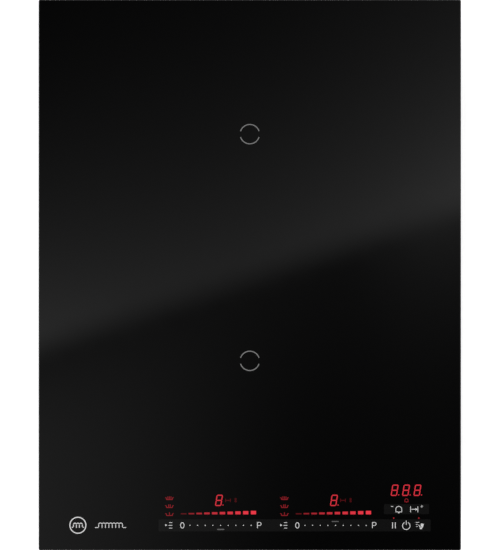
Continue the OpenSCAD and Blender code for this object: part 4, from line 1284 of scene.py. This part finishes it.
lit = []
for shift in (0, zone_shift):
    lit.append(digit(zone_digit_x + shift, zone_digit_y, digits_glow))
    for i in range(bar_count):
        share = i / (bar_count - 1)
        wide = (5.2 - 0.5 * share) * mm
        tall = (1.0 + 2.2 * share) * mm
        bar = film_bar(bars_start + shift + i * bars_pitch, bars_foot + tall / 2, wide, tall, 0.2)
        lit.append(glowing([bar], 0.1 + 0.72 * share ** 0.7))
    for row, strokes in enumerate((1, 2, 3)):
        lit.append(pan_symbol(pan_x + shift, pan_start + pan_pitch * row, strokes))
    span = span_symbol(-19.8 * mm + shift, zone_digit_y, 4.3 * mm, 3.0 * mm, 0.6 * mm, 0)
    lit.append(glowing(span, 0.09))
    probe = [film_ring(probe_x + shift, front + up * mm, 1.9 * mm, 1.9 * mm, 0.55 * mm)
             for up in (44.6, 46.6)]
    lit.append(glowing(probe, 0.08))
for i in (-1, 0, 1):
    lit.append(digit((142 + 10.35 * i) * mm, timer_digits_y, digits_glow))
lit.append(glowing(bell(142.4 * mm, front + 45.4 * mm, 3.5 * mm, 0.5 * mm, 0), 0.3))
for x in (130.8, 153.6):
    lit.append(glowing([film_disc(x * mm, front + 29.3 * mm, 0.62 * mm, 16)], 0.4))
finish_piece(joined(lit), "lit_segments", "housing", "display_red", lit_red("red_segment_light"))


# ---------------------------------------------------------------- studio
# A plain pale floor lit from within like a light table, a bright dome with a soft
# grey fade overhead that shows in the glass, one soft lamp, the camera overhead.

table_reach = 0.85
table_edge = 0.6
table_glow = 0.6


def studio_floor():
    """Pale matt board, glowing evenly under the cooktop and fading to its edge."""
    material, tree, shader = new_surface("pale_floor", (0.86, 0.86, 0.86), 0.9)
    mottle(tree, shader, (0.85, 0.85, 0.85), (0.87, 0.87, 0.87), 3)
    glow = pattern(tree, "ShaderNodeTexGradient", 1, (1 / table_reach, 1 / table_reach, 1))
    glow.gradient_type = "SPHERICAL"
    lit_part = tree.nodes.new("ShaderNodeMapRange")
    lit_part.interpolation_type = "SMOOTHSTEP"
    lit_part.inputs["From Max"].default_value = table_edge
    lit_part.inputs["To Max"].default_value = table_glow
    tree.links.new(glow.outputs["Fac"], lit_part.inputs["Value"])
    tree.links.new(lit_part.outputs["Result"], shader.inputs["Emission Strength"])
    shader.inputs["Emission Color"].default_value = (1, 1, 1, 1)
    return material


floor_size = 24
foot_gap = 0.1 * mm
deselect()
bpy.ops.mesh.primitive_plane_add(size=floor_size, location=(0, 0, cad_box[0].z - foot_gap))
floor = bpy.context.object
bpy.ops.object.transform_apply(location=True, rotation=True, scale=True)
floor.name = "studio_floor"
floor.data.materials.append(studio_floor())

lens = 200
sensor = 36
framed_share = 0.9976
camera_drop = framed_share * (glass_high.y - glass_low.y) * lens / sensor
camera_data = bpy.data.cameras.new("studio_camera")
camera_data.lens = lens
camera_data.sensor_width = sensor
camera_data.clip_start = 0.05
camera_data.clip_end = 60
camera = bpy.data.objects.new("studio_camera", camera_data)
camera_aside = 0.2 * mm
camera.location = (camera_aside, 0, glass_high.z + camera_drop)
bpy.context.collection.objects.link(camera)
bpy.context.scene.camera = camera


def studio_dome():
    """A sky whose zenith holds the grey fade that the level glass mirrors."""
    world = bpy.data.worlds.new("studio_dome")
    world.use_nodes = True
    tree = world.node_tree
    background = tree.nodes["Background"]

    def calc(operation, a, b=0.0, c=0.0):
        """One step of arithmetic on numbers or other steps."""
        step = tree.nodes.new("ShaderNodeMath")
        step.operation = operation
        for socket, value in zip(step.inputs, (a, b, c)):
            if isinstance(value, (int, float)):
                socket.default_value = value
            else:
                tree.links.new(value, socket)
        return step.outputs[0]

    def fade(value, low, high):
        """0 below low and 1 above high, smooth between; low may be the larger."""
        step = tree.nodes.new("ShaderNodeMapRange")
        step.interpolation_type = "SMOOTHSTEP"
        tree.links.new(value, step.inputs["Value"])
        step.inputs["From Min"].default_value = low
        step.inputs["From Max"].default_value = high
        return step.outputs[0]

    def times(a, b):
        return calc("MULTIPLY", a, b)

    def plus(a, b):
        return calc("ADD", a, b)

    def line(value, slope, start):
        return calc("MULTIPLY_ADD", value, slope, start)

    def decay(distance, reach):
        return calc("EXPONENT", calc("DIVIDE", distance, reach))

    sky = tree.nodes.new("ShaderNodeTexCoord")
    split = tree.nodes.new("ShaderNodeSeparateXYZ")
    tree.links.new(sky.outputs["Generated"], split.inputs[0])
    east, north, height = (split.outputs[axis] for axis in "XYZ")

    # where on the glass this part of the sky is mirrored, in metres from the middle
    lowest_mirrored = 0.2
    up = calc("MAXIMUM", height, lowest_mirrored)
    x = times(calc("DIVIDE", east, up), camera_drop)
    y = times(calc("DIVIDE", north, up), camera_drop)

    # a soft slanting seam parts the upper, brighter field from the lower one
    seam_slope = 0.334
    seam_start = 0.001
    seam_soft = 0.019
    above = calc("SUBTRACT", plus(y, seam_start), times(x, seam_slope))
    below = calc("MINIMUM", above, 0.0)
    seam = fade(above, -seam_soft, seam_soft)

    # the upper field is brightest at the seam, more so to the right, and fades away from it
    square = times(x, x)
    reach = plus(line(x, 0.064, 0.143), times(square, -0.49))
    brightness = plus(line(x, 0.174, 0.403), times(square, 6.5))
    shortest_reach = 0.02
    upper = times(brightness, decay(times(above, -1.0), calc("MAXIMUM", reach, shortest_reach)))

    # the lower field is a slow fade, a glow at the left and a short fade at the right
    slow_glow, slow_reach = 0.136, 0.44
    left_glow, left_reach = 0.372, 0.063
    right_glow, right_reach = 0.196, 0.06
    darkening = -0.043
    near = times(slow_glow, decay(below, slow_reach))
    left = times(times(fade(x, 0.074, -0.333), calc("SUBTRACT", 1.0, decay(below, left_reach))), left_glow)
    right = times(fade(x, 0.08, 0.19), decay(below, right_reach))
    lower = plus(plus(near, left), line(right, right_glow, darkening))
    zenith = plus(times(upper, seam), times(lower, calc("SUBTRACT", 1.0, seam)))
    brightest = 0.9
    zenith = calc("MINIMUM", calc("MAXIMUM", zenith, 0.0), brightest)

    # a bright band lights the floor, and a dimmer, uneven horizon lights the sides
    zenith_low, zenith_full = 0.90, 0.975
    band_low, band_full = 0.2, 0.55
    band_light = 0.9
    band = times(fade(height, zenith_full, zenith_low), fade(height, band_low, band_full))
    horizon = line(north, -0.2, line(east, -0.12, 0.5))
    low_sky = times(horizon, fade(height, band_full, band_low))
    top = times(zenith, fade(height, zenith_low, zenith_full))
    total = plus(plus(times(band, band_light), low_sky), top)
    tree.links.new(total, background.inputs["Strength"])
    background.inputs["Color"].default_value = (1, 1, 1, 1)
    return world


bpy.context.scene.world = studio_dome()
bpy.context.scene.view_settings.view_transform = "Standard"

lamp_data = bpy.data.lights.new("soft_side_lamp", "AREA")
lamp_data.shape = "RECTANGLE"
lamp_data.size = 1.6
lamp_data.size_y = 1.0
lamp_data.energy = 28
lamp = bpy.data.objects.new("soft_side_lamp", lamp_data)
lamp.location = (-2.0, -1.4, 1.5)
lamp.rotation_euler = (Vector((0, 0, 0)) - lamp.location).to_track_quat("-Z", "Y").to_euler()
bpy.context.collection.objects.link(lamp)
